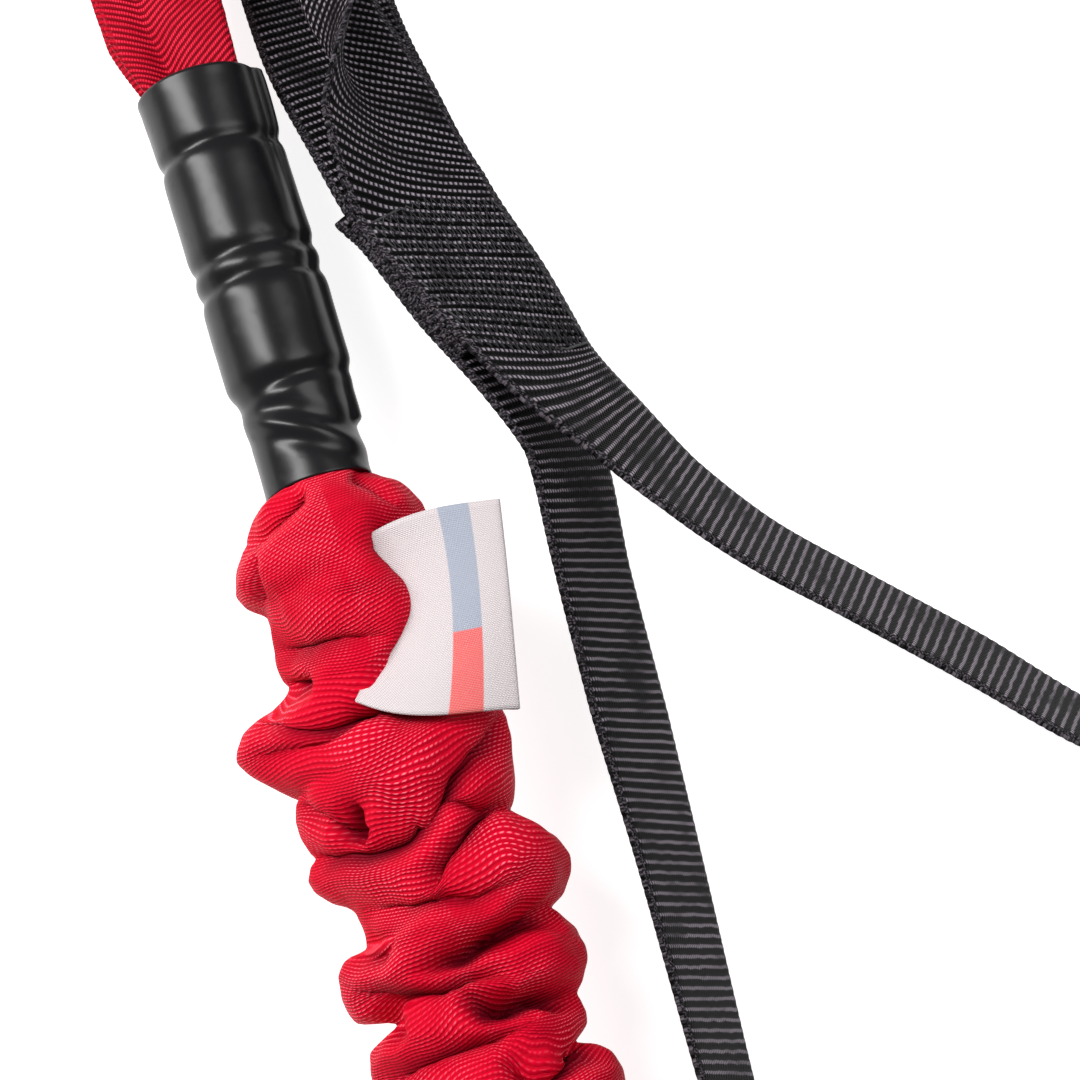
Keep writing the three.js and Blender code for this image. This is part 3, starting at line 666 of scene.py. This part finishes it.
def sleeve_rings():
    """The sleeve's sections, where the camera sees each of their points, and how much painted shade each
    gets.
    """
    rng = random.Random(SLEEVE_SEED)
    left_more, left_notches = more_lobes(rng, LEFT_OUTLINE[-1][0])
    right_more, right_notches = more_lobes(rng, RIGHT_OUTLINE[-1][0])
    creases = CREASES + more_creases(rng, left_notches[:-1], right_notches[:-1])
    y = np.arange(NECK_IN, -SLEEVE_LENGTH - NECK_IN, -SLEEVE_STEP)
    angle = full_turn(SLEEVE_AROUND)
    left = from_outline(LEFT_OUTLINE + left_more, y)
    right = from_outline(RIGHT_OUTLINE + right_more, y)
    far_top = [(-SLEEVE_LENGTH + 6, 15), (-SLEEVE_LENGTH + 1, 11), (-SLEEVE_LENGTH - 0.6, NECK_R)]
    top = from_outline(TOP_OUTLINE + far_top, y)
    rightness = smooth_step(np.sin(angle), -SIDE_BLEND, SIDE_BLEND)
    reach = left[:, None] * (1 - rightness) + right[:, None] * rightness
    sideways = reach * np.sin(angle)
    upward = top[:, None] * np.cos(angle)
    height = np.abs(upward)
    seen_x = (sideways + LEAN[0] * height).ravel()
    seen_y = (y[:, None] + LEAN[1] * height).ravel()
    carved, moved, shaded = np.zeros_like(seen_x), np.zeros((len(seen_x), 2)), np.zeros_like(seen_x)
    for crease in creases:
        depth, shift, shade = crease_cut(seen_x, seen_y, *crease)
        carved += depth ** 4
        moved += shift
        # painted shade: each point keeps the strongest crease shade
        shaded = np.maximum(shaded, shade)
    carved = (carved ** 0.25).reshape(sideways.shape)
    face = smooth_step(np.abs(np.cos(angle)), *FACE_SPAN)
    moved = moved.reshape(*sideways.shape, 2) * face[None, :, None]
    radius = np.hypot(sideways, upward)
    share = 1 - np.minimum(carved * face, radius - CORE_SPACE) / radius
    along = np.repeat(y[:, None], len(angle), 1)
    rings = np.stack([sideways * share, along, AXIS_Z + upward * share], axis=-1)
    rings[..., :2] += moved
    spots = rings.reshape(-1, 3)
    loose = smooth_step(radius, NECK_R + 0.3, NECK_R + 4).reshape(-1, 1)
    for scale, seed, size in LUMPS:
        spots = spots + field(spots, scale, seed) * loose * size
    grid = sideways.shape
    return spots.reshape(rings.shape), seen_x.reshape(grid), seen_y.reshape(grid), shaded.reshape(grid) * face


def rest_on_floor(rings):
    z = rings[..., 2]
    low = FLOOR_CLEARANCE + FLOOR_SOFT
    rings[..., 2] = np.where(z < low, FLOOR_CLEARANCE + FLOOR_SOFT * np.exp((z - low) / FLOOR_SOFT), z)
    return rings


def rib_slope(x, y):
    """The slope of the ribs at places seen on the sleeve's face."""
    slope, total = np.zeros_like(x), np.full_like(x, LEVEL_WEIGHT)
    for spot_x, spot_y, lean in RIB_SLOPES:
        weight = np.exp(-((x - spot_x) ** 2 / SLOPE_REACH_X ** 2 + (y - spot_y) ** 2 / SLOPE_REACH_Y ** 2))
        slope += weight * lean
        total += weight
    return slope / total * SLOPE_GAIN


CLOTH_CELL = 0.5
CLOTH_HALF = 26  # the grid reaches this far to each side, and CLOTH_BEYOND past each end
CLOTH_BEYOND = 16


def cloth_lengths(seen_x, seen_y):
    """How far along the cloth each place is: the smooth function whose level lines best follow the ribs,
    from Poisson's equation solved on an even grid by Fourier series."""
    cell = CLOTH_CELL
    x = np.arange(-CLOTH_HALF, CLOTH_HALF, cell)
    y = np.arange(-SLEEVE_LENGTH - CLOTH_BEYOND, CLOTH_BEYOND, cell)
    grid_y, grid_x = np.meshgrid(y, x, indexing="ij")
    slope = rib_slope(grid_x, grid_y)
    size = np.hypot(slope, 1)
    along_x, along_y = slope / size, -1 / size
    along_x = (along_x[:, 1:] + along_x[:, :-1]) / 2
    along_y = (along_y[1:] + along_y[:-1]) / 2
    spread = np.diff(np.pad(along_x, ((0, 0), (1, 1))), axis=1)
    spread = spread + np.diff(np.pad(along_y, ((1, 1), (0, 0))), axis=0)
    spread = np.concatenate([spread, spread[::-1]])
    spread = np.concatenate([spread, spread[:, ::-1]], axis=1)
    waves = [2 * np.cos(2 * math.pi * np.arange(count) / count) - 2 for count in spread.shape]
    strength = waves[0][:, None] + waves[1][None, :]
    strength[0, 0] = 1
    cloth = np.fft.ifft2(np.fft.fft2(spread) / strength).real[:len(y), :len(x)] * cell
    row = np.clip((seen_y - y[0]) / cell, 0, len(y) - 1.001)
    column = np.clip((seen_x - x[0]) / cell, 0, len(x) - 1.001)
    i, j = row.astype(int), column.astype(int)
    f, g = row - i, column - j
    return ((cloth[i, j] * (1 - g) + cloth[i, j + 1] * g) * (1 - f)
            + (cloth[i + 1, j] * (1 - g) + cloth[i + 1, j + 1] * g) * f)


def make_sleeve():
    rings, seen_x, seen_y, shaded = sleeve_rings()
    girth = np.linspace(0, 2 * math.pi * SLEEVE_R, SLEEVE_AROUND + 1)
    sleeve = loft("gathered_sleeve", rest_on_floor(rings), girth[None, :], cloth_lengths(seen_x, seen_y))
    # painted shade: the crease attribute darkens the sleeve's colour in its folds
    crease = sleeve.data.attributes.new("crease", "FLOAT", "POINT")
    painted_crease_shade = np.zeros(len(sleeve.data.vertices), np.float32)
    painted_crease_shade[:shaded.size] = shaded.ravel()
    crease.data.foreach_set("value", painted_crease_shade)
    # gap is painted shade between the ribs, line a painted highlight on their crests, shaded paints shade
    # into the folds
    red = ribbed_fabric("red_sleeve", gap=(0.5, 0.0, 0.014, 1), band=(0.8, 0.0, 0.028, 1),
                        line=(1.0, 0.2, 0.27, 1), pitch=0.46, dash=0.8, stagger=0.3, line_width=0.16,
                        relief=0.2, twill=1.1, plain=0.5, ticking=0.2, shaded=True)
    finish_piece(sleeve, red, "red_sleeve", None, "sleeve")
    return sleeve


# ---- the label
# Its control places as seen: rows run down the label, columns from the seam out to the fold.
LABEL_GRID_X = [[3.0, 12.0, 20.0, 27.0], [5.5, 12.5, 18.6, 25.0],
                [1.5, 8.5, 15.6, 22.4], [-3.5, 3.6, 12.0, 20.0]]
LABEL_GRID_Y = [[-10.5, -6.8, -8.8, -10.0], [-20.0, -20.4, -20.8, -21.0],
                [-29.0, -31.8, -32, -32.2], [-34.2, -40.4, -40.6, -43.0]]
LABEL_GRID_Z = [[31.2, 32.0, 32.4, 31.5], [27.0, 29.5, 32, 31.5],
                [29.0, 32.5, 33.5, 31.5], [32.5, 36.5, 34.4, 31.0]]
LABEL_ROWS, LABEL_COLUMNS = 40, 34
LABEL_THICKNESS = 0.28
LABEL_GAP = 0.5  # between its two leaves at the top
LABEL_GAPE = 2.2  # how much further they part at the bottom


def patch(grid, rows, columns):
    """A smooth surface value over a grid of four by four, by cubic Bezier on both sides."""
    def weights(t):
        return np.stack([(1 - t) ** 3, 3 * t * (1 - t) ** 2, 3 * t * t * (1 - t), t ** 3], axis=-1)
    return weights(rows) @ np.asarray(grid, float) @ weights(columns).T


def make_label():
    down = np.linspace(0, 1, LABEL_ROWS)
    out = np.linspace(0, 1, LABEL_COLUMNS)
    front = lift(*(patch(grid, down, out) for grid in (LABEL_GRID_X, LABEL_GRID_Y, LABEL_GRID_Z)))
    opening = LABEL_GAP + LABEL_GAPE * np.outer(smooth_step(down, 0.45, 1.0), np.sin(np.pi * out))
    opening = opening * np.where(out > 0.96, 0.6, 1.0)[None, :]
    back = front[:, ::-1].copy()
    back[..., 2] -= opening[:, ::-1]
    back[..., 1] += (opening[:, ::-1] - LABEL_GAP) * 0.35
    fold = (front[:, -1:] + back[:, :1]) / 2 + (LABEL_THICKNESS, 0, 0)
    loop = np.concatenate([front, fold, back], axis=1)
    index = np.arange(loop.size // 3).reshape(loop.shape[:2])
    across = np.concatenate([out, [1.01], out[::-1]]) * LABEL_REACH
    along = (1 - down) * LABEL_HEIGHT
    label = add_object("folded_label", place(loop.reshape(-1, 3)), cells(index),
                       cloth_cells(across[None, :], along[:, None]))
    solid = label.modifiers.new("solid", "SOLIDIFY")
    solid.thickness = LABEL_THICKNESS * MM
    solid.offset = 0
    bake(label)
    finish_piece(label, woven_satin(), "label", "tether", "woven_label")
    return label


def final_mesh(thing):
    """A new mesh of what the object shows, its modifiers and bevels worked in."""
    return bpy.data.meshes.new_from_object(thing.evaluated_get(bpy.context.evaluated_depsgraph_get()))


def bake(thing):
    mesh = final_mesh(thing)
    thing.modifiers.clear()
    thing.data = mesh


# ---- heat-shrink
SHRINK_OUTLINE = [
    (0.3, 9.0), (2, 8.9), (9, 8.8), (15, 8.9), (18, 9.2), (19.6, 9.9), (21, 10.0), (33.5, 10.0),
    (34.8, 9.85), (35.8, 9.35), (36.6, 9.35), (37.6, 9.8), (38.5, 9.92), (39.4, 9.8), (40.4, 9.35),
    (41.2, 9.35), (42.2, 9.85), (43.5, 10.0), (57.5, 10.0), (58.8, 9.85), (59.6, 9.35), (60.5, 9.35),
    (61.5, 9.9), (63, 10.0), (72.7, 10.3),
]
# Folds round its neck: how far along each lies, how much lower it runs on the right, how far it stands out
# and how wide it is.
NECK_FOLDS = [(17.6, -0.8, -0.5, 1.3), (15.7, -0.8, 0.2, 1.3), (12.0, 4.0, -0.75, 2.1), (8.9, 4.6, 0.6, 1.7),
              (6.3, 4.6, -0.35, 1.6)]
SHRINK_WALL = 0.9
NECK_TOP = 14.5, 20.0  # over these heights the neck's stronger ripple fades
FLASH_AT = math.radians(84)  # where round the tube it is pinched into a low ridge along its length
FLASH_HALF = 0.17  # radians
FLASH_HEIGHT = 1.15
FLASH_FROM = 8.6, 9.8  # the ridge rises over these heights
SHRINK_LUMPS = (7, 5, 0.09)  # its unevenness: size of the lumps, random seed, height
SHRINK_AROUND, SHRINK_ALONG = 96, 190


def shrink_rings():
    y = np.linspace(SHRINK_OUTLINE[0][0], SHRINK_OUTLINE[-1][0], SHRINK_ALONG)
    angle = full_turn(SHRINK_AROUND)
    r = from_outline(SHRINK_OUTLINE, y, 7)[:, None] * np.ones_like(angle)
    neck = 1 - smooth_step(y, *NECK_TOP)
    face = 0.25 + 0.75 * np.clip(np.cos(angle), 0, 1)
    for height, drop, size, width in NECK_FOLDS:
        r = r + size * face * np.exp(-((y[:, None] - height + drop * np.sin(angle)) / width) ** 2)
    flash = smooth_step(y, *FLASH_FROM)[:, None] * np.exp(-np.abs((angle - FLASH_AT) / FLASH_HALF) ** 3)
    r = r + flash * (FLASH_HEIGHT + 0.12 * np.sin(y * 0.21))[:, None]
    lip = np.exp(-((y - SHRINK_OUTLINE[-1][0]) / 1.2) ** 2)[:, None]
    r = r + lip * 0.12 * np.sin(3 * angle)
    heights = np.repeat(y[:, None], len(angle), 1)
    outer = np.stack([r * np.sin(angle), heights, AXIS_Z + r * np.cos(angle)], axis=-1)
    scale, seed, size = SHRINK_LUMPS
    ripple = field(outer.reshape(-1, 3), scale, seed).reshape(outer.shape)
    outer = outer + ripple * size * (1 + neck[:, None, None])
    centre = np.stack([np.zeros_like(y), y, np.full_like(y, AXIS_Z)], -1)[:, None, :]
    inner = outer + (centre - outer) * (SHRINK_WALL / np.linalg.norm(outer - centre, axis=-1, keepdims=True))
    roll = outer[-1:] * 0.5 + inner[-1:] * 0.5 + (0, 0.35, 0)
    start = outer[:1] * 0.5 + inner[:1] * 0.5
    return np.concatenate([outer, roll, inner[::-1], start])


def make_heat_shrinks(material):
    rings = shrink_rings()
    for end, body, shape in (("a", "tether", rings), ("b", "far_end", far_side(rings))):
        thing = add_object(f"shrunk_tube_{end}", place(shape.reshape(-1, 3)), torus_faces(*shape.shape[:2]))
        close_up(thing)
        finish_piece(thing, material, "heat_shrink", body, f"heat_shrink_{end}")


# ---- flat webbing swept along a route
GAP = 0.3  # between plies, and between the webbing and the bar
WIRE_Y, WIRE_Z = 125, 8.2  # the middle of the connector's basket bar
BAR_CORNER_R = math.hypot(5, 2)  # from there to the corners of the bar's section
DENT_HALF = 2.4  # how far a lengthwise dent reaches to each side


def webbing(name, points, tangents, across, width, thickness, lengths, pitch, relief, selvedge, columns,
            fold=0.0, skew=0.0, shift=0.0, dent=0.0, vee=0.0, vee_at=0.0):
    """A ribbed flat webbing through sections; fold bends its + side over on itself, in radians, skew slants
    the ribs, vee turns them into a chevron about vee_at, shift moves a section towards + and dent pushes it
    in there. The outer selvedge mm of each side have no ribs."""
    def column(value):
        return np.broadcast_to(np.asarray(value, float), (len(points),))[:, None]

    width, relief, vee = column(width), column(relief), column(vee)
    across = unit(across - (across * tangents).sum(1, keepdims=True) * tangents)
    normal = np.cross(tangents, across)
    a = np.linspace(-0.5, 0.5, columns + 1)
    reach = a * width
    bend = column(fold) * smooth_step(reach, -3.0, 3.0)
    step = np.diff(reach, axis=1)
    middle = (bend[:, 1:] + bend[:, :-1]) / 2
    edge = column(0)
    x = np.concatenate([edge, np.cumsum(step * np.cos(middle), axis=1)], axis=1) - width / 2 + column(shift)
    n = np.concatenate([edge, np.cumsum(step * np.sin(middle), axis=1)], axis=1)
    n = n - column(dent) * np.exp(-np.abs((reach - vee_at) / DENT_HALF) ** 1.5)
    cloth = column(lengths) + (reach * column(skew) + vee * np.sqrt((reach - vee_at) ** 2 + 0.3))
    phase = cloth / pitch
    rib = 1 - np.abs(2 * (phase - np.floor(phase)) - 1) ** 2.4
    rib_share = smooth_step(width / 2 - np.abs(reach), selvedge * 0.8, selvedge + 0.4)
    round_edge = np.sqrt(np.clip(1 - (np.abs(a) * 2) ** 14, 0.12, 1))
    half = (column(thickness) / 2 - relief * (1 - rib) * rib_share) * round_edge
    x = x * (1 + np.where(np.abs(a) > 0.49, 0.008, 0.0) * (rib * 2 - 1))
    top = np.stack([x - np.sin(bend) * half, n + np.cos(bend) * half], axis=-1)
    low = np.stack([x + np.sin(bend) * half, n - np.cos(bend) * half], axis=-1)
    ring = np.concatenate([top, low[:, ::-1]], axis=1)
    rings = points[:, None, :] + ring[..., :1] * across[:, None, :] + ring[..., 1:] * normal[:, None, :]
    across_mm = np.concatenate([reach, reach[:, ::-1], reach[:, :1]], axis=1)
    return loft(name, rings, across_mm, np.concatenate([cloth, cloth[:, ::-1]], axis=1))


STRAP_WIDTH = 25
STRAP_THICKNESS = 1.8
PLY = STRAP_THICKNESS + 2 * GAP
STRAP_PITCH = 1.7
STRAP_RELIEF = 0.24
GRIP_Z = 18.7
GRIP_START = (43, -187, GRIP_Z)
GRIP_AXIS = np.array([math.cos(math.radians(18)), math.sin(math.radians(18)), 0])
GRIP_LENGTH = 125
STITCHED = [(30.2, 43, 19, 20, 17.7), (36, 25, 19.5, 30, 17.7), (41.4, 9, 20, 43, 18)]
HIDDEN_END = (39, 16, 19.8, 37, 18)
CUT_END = (27.2, 48.8, 19.6, 16, 17.7)  # the first ply's cut end peeps out past the stitching
LEFT_LEG = [
    (40.1, -4.2, 15.2, 56, 5), (38.6, -24, 12.4, 58, 3), (37.1, -48.6, 11.4, 58, 3),
    (35.9, -71.7, 11.6, 62, 3), (33.4, -110.3, 12.3, 67, 3), (31.3, -150, 16, 80, 2),
]
GRIP_TURN_LEFT = [(30.8, -174, GRIP_Z, 90, 0), (32.6, -182.5, GRIP_Z, 90, 0), (37.5, -187.4, GRIP_Z, 90, 0)]
GRIP_TURN_RIGHT = [(167.4, -145, GRIP_Z, 90, 0), (169, -138.5, GRIP_Z, 90, 44)]
RIGHT_LEG = [
    (163.5, -130, 18.5, 88, 44), (140, -106.3, 15, 75, 44), (105.9, -71.7, 11.8, 60, 42),
    (93, -56.9, 11.8, 58, 42), (77.8, -40.9, 12.4, 58, 42), (65.5, -28.1, 13.6, 57, 42),
    (56, -15.6, 15.8, 55, 40), (48.3, -3, 18.4, 50, 31),
]
EYE_FRONT = [(28.2, 60, 20, 14, 8), (27.2, 76, 20, 8, 0), (25.4, 96, 17.6, 3, 0), (24, 112, 15.2, 0, 0)]
EYE_BACK = [(24.2, 112, 1.9, 0, 0), (24.4, 96, 5.2, 0, 0), (24.6, 76, 11.4, 3, 0), (27, 58, 15.6, 12, 10)]
HANDLE_EYE_X = 23.8


def lay(stations, plies=0):
    """Rows of place and across vector for strap stations (x, y, z, tilt, heading) or for places so many
    plies below them; tilt leans the strap on edge, its left edge up."""
    rows = []
    for *spot, tilt, heading in stations:
        t, h = math.radians(tilt), math.radians(heading)
        up = np.array([math.sin(t) * math.cos(h), math.sin(t) * math.sin(h), math.cos(t)])
        across = (-math.cos(t) * math.cos(h), -math.cos(t) * math.sin(h), math.sin(t))
        rows.append([*(np.array(spot) - plies * PLY * up), *across])
    return rows


def round_the_bar(x, thickness):
    """Stations round the connector's basket bar, over its top and back underneath."""
    radius = BAR_CORNER_R + 2 * GAP + thickness / 2
    rows = []
    for degrees in (-15, 20, 55, 90, 125, 160, 195):
        turn = math.radians(degrees)
        rows.append([x, WIRE_Y + radius * math.sin(turn), WIRE_Z + radius * math.cos(turn), -1, 0, 0])
    return rows


def strap_route():
    """Every station of the handle strap in order, and where each of its stretches starts."""
    along_grip = (2, 12, GRIP_LENGTH / 2, GRIP_LENGTH - 12, GRIP_LENGTH - 2)
    in_grip = [(*(np.array(GRIP_START) + GRIP_AXIS * distance), 90, 0) for distance in along_grip]
    stages = {
        "first ply": lay([CUT_END, *STITCHED], 2),
        "loop": lay(LEFT_LEG + GRIP_TURN_LEFT + in_grip + GRIP_TURN_RIGHT + RIGHT_LEG),
        "overlap": lay(STITCHED[::-1]),
        "eye": lay(EYE_FRONT),
        "bar": round_the_bar(HANDLE_EYE_X, STRAP_THICKNESS),
        "way back": lay(EYE_BACK),
        "hidden ply": lay([STITCHED[0], STITCHED[1], HIDDEN_END], 1),
    }
    starts = np.cumsum([0] + [len(stage) for stage in stages.values()])
    return np.array([row for stage in stages.values() for row in stage]), dict(zip(stages, starts))


def make_strap(material):
    rows, starts = strap_route()
    points, tangents, number, lengths = catmull(rows[:, :3], STRAP_PITCH / 5)
    overlap, eye, bar = starts["overlap"], starts["eye"], starts["bar"]
    # one edge folds over between the overlap and the bar: station, bend in degrees, and how far it moves over
    folding = np.array([(overlap + 2, 0, 0), (eye, 40, 2.2), (eye + 1, 128, 6.0), (eye + 1.5, 150, 6.2),
                        (eye + 2.2, 95, 4.0), (eye + 3, 20, 1.0), (bar, 0, 0)])
    fold = np.radians(np.interp(number, folding[:, 0], folding[:, 1]))
    shift = np.interp(number, folding[:, 0], folding[:, 2])
    skewing = np.array([(overlap - 1.2, 0), (overlap, -0.35), (overlap + 2.5, -0.6), (eye + 0.5, -0.6),
                        (eye + 1.5, -0.75), (eye + 2.2, -0.5), (eye + 3, 0)])
    skew = np.interp(number, skewing[:, 0], skewing[:, 1])
    strap = webbing("handle_strap", points, tangents, by_station(rows[:, 3:], number), STRAP_WIDTH,
                    STRAP_THICKNESS, lengths, STRAP_PITCH, STRAP_RELIEF, selvedge=1.2, columns=18, fold=fold,
                    shift=shift, skew=skew)
    finish_piece(strap, material, "black_webbing", "handle",
                 "strap_eye", "strap_left_leg", "strap_right_leg", "strap_in_grip")
    return strap, lengths[-1]


STITCH_ROWS = 11
STITCH_STEP = 0.6
STITCH_HALF = 11.2  # the tack stops short of the strap's edges
THREAD_R = 0.24
STITCH_SEED = 4


def add_thread(curve, route):
    spline = curve.splines.new("BEZIER")
    spline.bezier_points.add(len(route) - 1)
    for knot, spot in zip(spline.bezier_points, route):
        knot.co = Vector(place(spot))
        knot.handle_left_type = knot.handle_right_type = "VECTOR"


def make_stitches(material):
    """A zigzag bar tack over the joined plies."""
    rows, starts = strap_route()
    points, tangents, number, lengths = catmull(rows[:, :3], 0.5)
    across = unit(by_station(rows[:, 3:], number))
    normal = np.cross(tangents, across)
    span = np.flatnonzero((number >= starts["overlap"] + 0.05) & (number <= starts["eye"] - 1.0))
    first, last = span[0], span[-1]
    rng = random.Random(STITCH_SEED)
    curve = bpy.data.curves.new("bar_tack", "CURVE")
    curve.dimensions = "3D"
    curve.bevel_depth = THREAD_R * MM
    curve.bevel_resolution = 2
    curve.resolution_u = 1
    along = lengths[last] - lengths[first]
    for row in range(STITCH_ROWS):
        start = lengths[first] + along * (row + 0.5) / STITCH_ROWS + rng.uniform(-0.3, 0.3)
        route = []
        for i, side in enumerate(np.arange(-STITCH_HALF, STITCH_HALF, STITCH_STEP)):
            swing = (1 if i % 2 else -1) * rng.uniform(0.9, 1.5)
            k = min(max(np.searchsorted(lengths, start + side * 0.5 + swing), first), last)
            lift_off = STRAP_THICKNESS / 2 + rng.uniform(-0.12, 0.06)
            route.append(points[k] + across[k] * (side + rng.uniform(-0.15, 0.15)) + normal[k] * lift_off)
        add_thread(curve, route)
    drawn = new_object("bar_tack", curve)
    mesh = final_mesh(drawn)
    bpy.data.objects.remove(drawn)
    finish_piece(new_object("bar_tack", mesh), material, "thread", "handle", "strap_stitching")


EYE_PITCH = 1.15
EYE_X = -2
EYE_WIDTH, EYE_THICKNESS = 21, 2
# Where each ply of a red eye runs, from the ferrule to the connector: X, Y, the height midway between the two
# plies, how far each lies from that, its width and its thickness.
EYE_PLIES = [
    (0, 58, AXIS_Z, 4.9, 9, 1.2), (0, 63, AXIS_Z, 4.6, 10, 1.4), (0, 68, AXIS_Z, 4.2, 12.5, 1.8),
    (-0.6, 76, AXIS_Z, 3.7, 17, 2), (EYE_X, 88, AXIS_Z - 2, 5.2, EYE_WIDTH, EYE_THICKNESS),
    (EYE_X, 108, WIRE_Z + 3.5, 6.6, EYE_WIDTH, EYE_THICKNESS),
]
# How deep its lengthwise dent is and how much its ribs bend to a chevron, on the way out; then the dent back.
DENTS_OUT = [1.0, 2.0, 3.2, 3.2, 1.6, 0.2]
VEES_OUT = [-0.4, -0.5, -0.6, -0.6, -0.5, -0.2]
DENTS_BACK = [0, -0.5, -1.0, -1.0, -0.8, -0.6]


def make_eyes(material):
    x, y, middle, apart, widths, thick = np.transpose(EYE_PLIES)
    front, back = np.transpose([x, y, middle + apart]), np.transpose([x, y, middle - apart])
    wrap = np.array(round_the_bar(EYE_X, EYE_THICKNESS))[:, :3]
    widths = [*widths, *[EYE_WIDTH] * len(wrap), *widths[::-1]]
    thick = [*thick, *[EYE_THICKNESS] * len(wrap), *thick[::-1]]
    dents = DENTS_OUT + [0] * len(wrap) + DENTS_BACK
    vees = VEES_OUT + [0] * (len(wrap) + len(back))
    points, tangents, number, lengths = catmull(np.vstack([front, wrap, back[::-1]]), EYE_PITCH / 5)
    width, thickness, dent, vee = by_station(np.array([widths, thick, dents, vees]).T, number).T
    shape = dict(tangents=tangents, width=width, thickness=thickness, dent=dent, vee=vee, vee_at=3.0,
                 lengths=lengths, pitch=EYE_PITCH, relief=0.22, selvedge=1.8, columns=24)
    across = np.tile((-1.0, 0, 0), (len(points), 1))
    webbing_a = webbing("eye_a", points, across=across, **shape)
    finish_piece(webbing_a, material, "red_webbing", "tether", "eye_webbing_a")
    turn = np.array((-1, -1, 1))
    shape["tangents"] = tangents * turn
    webbing_b = webbing("eye_b", far_side(points), across=across * turn, **shape)
    finish_piece(webbing_b, material, "red_webbing", "far_end", "eye_webbing_b")
    for eye, connector in ((webbing_a, "forged_body_a"), (webbing_b, "forged_body_b")):
        lengths[-1] * MM


# ---- connectors and grip
BODY_VOXEL, BODY_ROUNDS = 0.55, 10
GATE_VOXEL, GATE_ROUNDS = 0.4, 5


def forged_copy(node, name, voxel, rounds):
    """A rounded copy of a CAD node: the same solid with its hard edges forged smooth."""
    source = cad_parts[node]
    thing = new_object(name, source.data.copy())
    thing.matrix_world = source.matrix_world
    remesh = thing.modifiers.new("remesh", "REMESH")
    remesh.mode = "VOXEL"
    remesh.voxel_size = voxel * MM
    remesh.use_smooth_shade = True
    smooth = thing.modifiers.new("smooth", "SMOOTH")
    smooth.factor = 0.5
    smooth.iterations = rounds
    bpy.context.view_layer.update()
    bake(thing)
    return thing


def make_connectors(steel):
    for end in "ab":
        body = forged_copy(f"connector_body_{end}", f"forged_body_{end}", BODY_VOXEL, BODY_ROUNDS)
        finish_piece(body, steel, "connector", f"connector_{end}", f"connector_body_{end}")
        gate = forged_copy(f"connector_gate_{end}", f"turned_gate_{end}", GATE_VOXEL, GATE_ROUNDS)
        finish_piece(gate, steel, "connector", f"gate_{end}", f"connector_gate_{end}")


# Outlines of the grip's turned parts: radius, and distance from the end of the grip.
FOAM_OUTLINE = [
    (15.3, 6.3), (17.4, 6.3), (18.2, 6.8), (18.5, 8.2), (18.5, 62.5), (18.5, 116.8), (18.2, 118.2),
    (17.4, 118.7), (15.3, 118.7),
]
CAP_OUTLINE = [
    (13.0, -1.6), (13.4, -2.0), (16.4, -2.0), (17.4, -1.6), (18.0, -0.8), (18.0, 1.2), (17.6, 1.8),
    (17.6, 2.6), (18.0, 3.2), (18.0, 5.6), (17.6, 6.0), (15.3, 6.0), (15.3, -0.3), (13.0, -0.3),
]


def make_grip(foam_finish, cap_finish):
    start = np.array(GRIP_START, float)
    foam = turned("foam_sleeve", FOAM_OUTLINE, 96, start, GRIP_AXIS, steps=7)
    finish_piece(foam, foam_finish, "foam", "grip", "grip_foam")
    end = start + GRIP_AXIS * GRIP_LENGTH
    for side, at, axis in (("left", start, GRIP_AXIS), ("right", end, -GRIP_AXIS)):
        cap = turned(f"end_cap_{side}", CAP_OUTLINE, 72, at, axis)
        finish_piece(cap, cap_finish, "grip_plastic", "grip", f"grip_cap_{side}")


def recolour(material, *nodes):
    for node in nodes:
        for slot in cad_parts[node].material_slots:
            slot.material = material


# ---- the scene
make_camera()
sleeve = make_sleeve()
label = make_label()
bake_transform(sleeve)
make_stage()
make_heat_shrinks(heat_shrink_plastic())
# gap is painted shade between the ribs and line a painted highlight on their crests
black = ribbed_fabric("black_webbing", gap=(0.001, 0.001, 0.0012, 1), band=(0.014, 0.013, 0.016, 1),
                      line=(0.3, 0.26, 0.3, 1), pitch=STRAP_PITCH, dash=0.78, stagger=0.5, line_width=0.22,
                      relief=0.2, twill=0.6, plain=0.4, edge=11.2, ticking=0.7)
strap, strap_length = make_strap(black)
strap_length * MM
thread = grainy("thread", (0.004, 0.004, 0.005, 1), (0.045, 0.042, 0.05, 1), 0.55, 1800, 0.05)
make_stitches(thread)
# gap is painted shade between the ribs and line a painted highlight on their crests
eye_red = ribbed_fabric("red_webbing", gap=(0.16, 0.0, 0.005, 1), band=(0.5, 0.0, 0.014, 1),
                        line=(0.78, 0.03, 0.07, 1), pitch=EYE_PITCH, dash=0.4, stagger=0.5, line_width=0.3,
                        relief=0.12, twill=0.6, plain=0.4, edge=8.8)
make_eyes(eye_red)
steel = forged_metal("connector", (0.42, 0.43, 0.45, 1), (0.62, 0.63, 0.65, 1), 0.22, 70)
make_connectors(steel)
bright = forged_metal("steel", (0.55, 0.55, 0.56, 1), (0.7, 0.7, 0.71, 1), 0.25, 120)
for small_part in ("gate_rivet", "gate_spring", "ferrule_lower", "ferrule_upper"):
    recolour(bright, f"{small_part}_a", f"{small_part}_b")
recolour(grainy("elastic", (0.62, 0.5, 0.3, 1), (0.75, 0.64, 0.42, 1), 0.6, 900, 0.1), "bungee_core")
foam_finish = grainy("foam", (0.012, 0.012, 0.013, 1), (0.03, 0.03, 0.032, 1), 0.92, 1400, 0.25, 0.2)
plastic = grainy("grip_plastic", (0.01, 0.01, 0.011, 1), (0.022, 0.022, 0.024, 1), 0.45, 2400, 0.04)
make_grip(foam_finish, plastic)
recolour(plastic, "grip_tube")
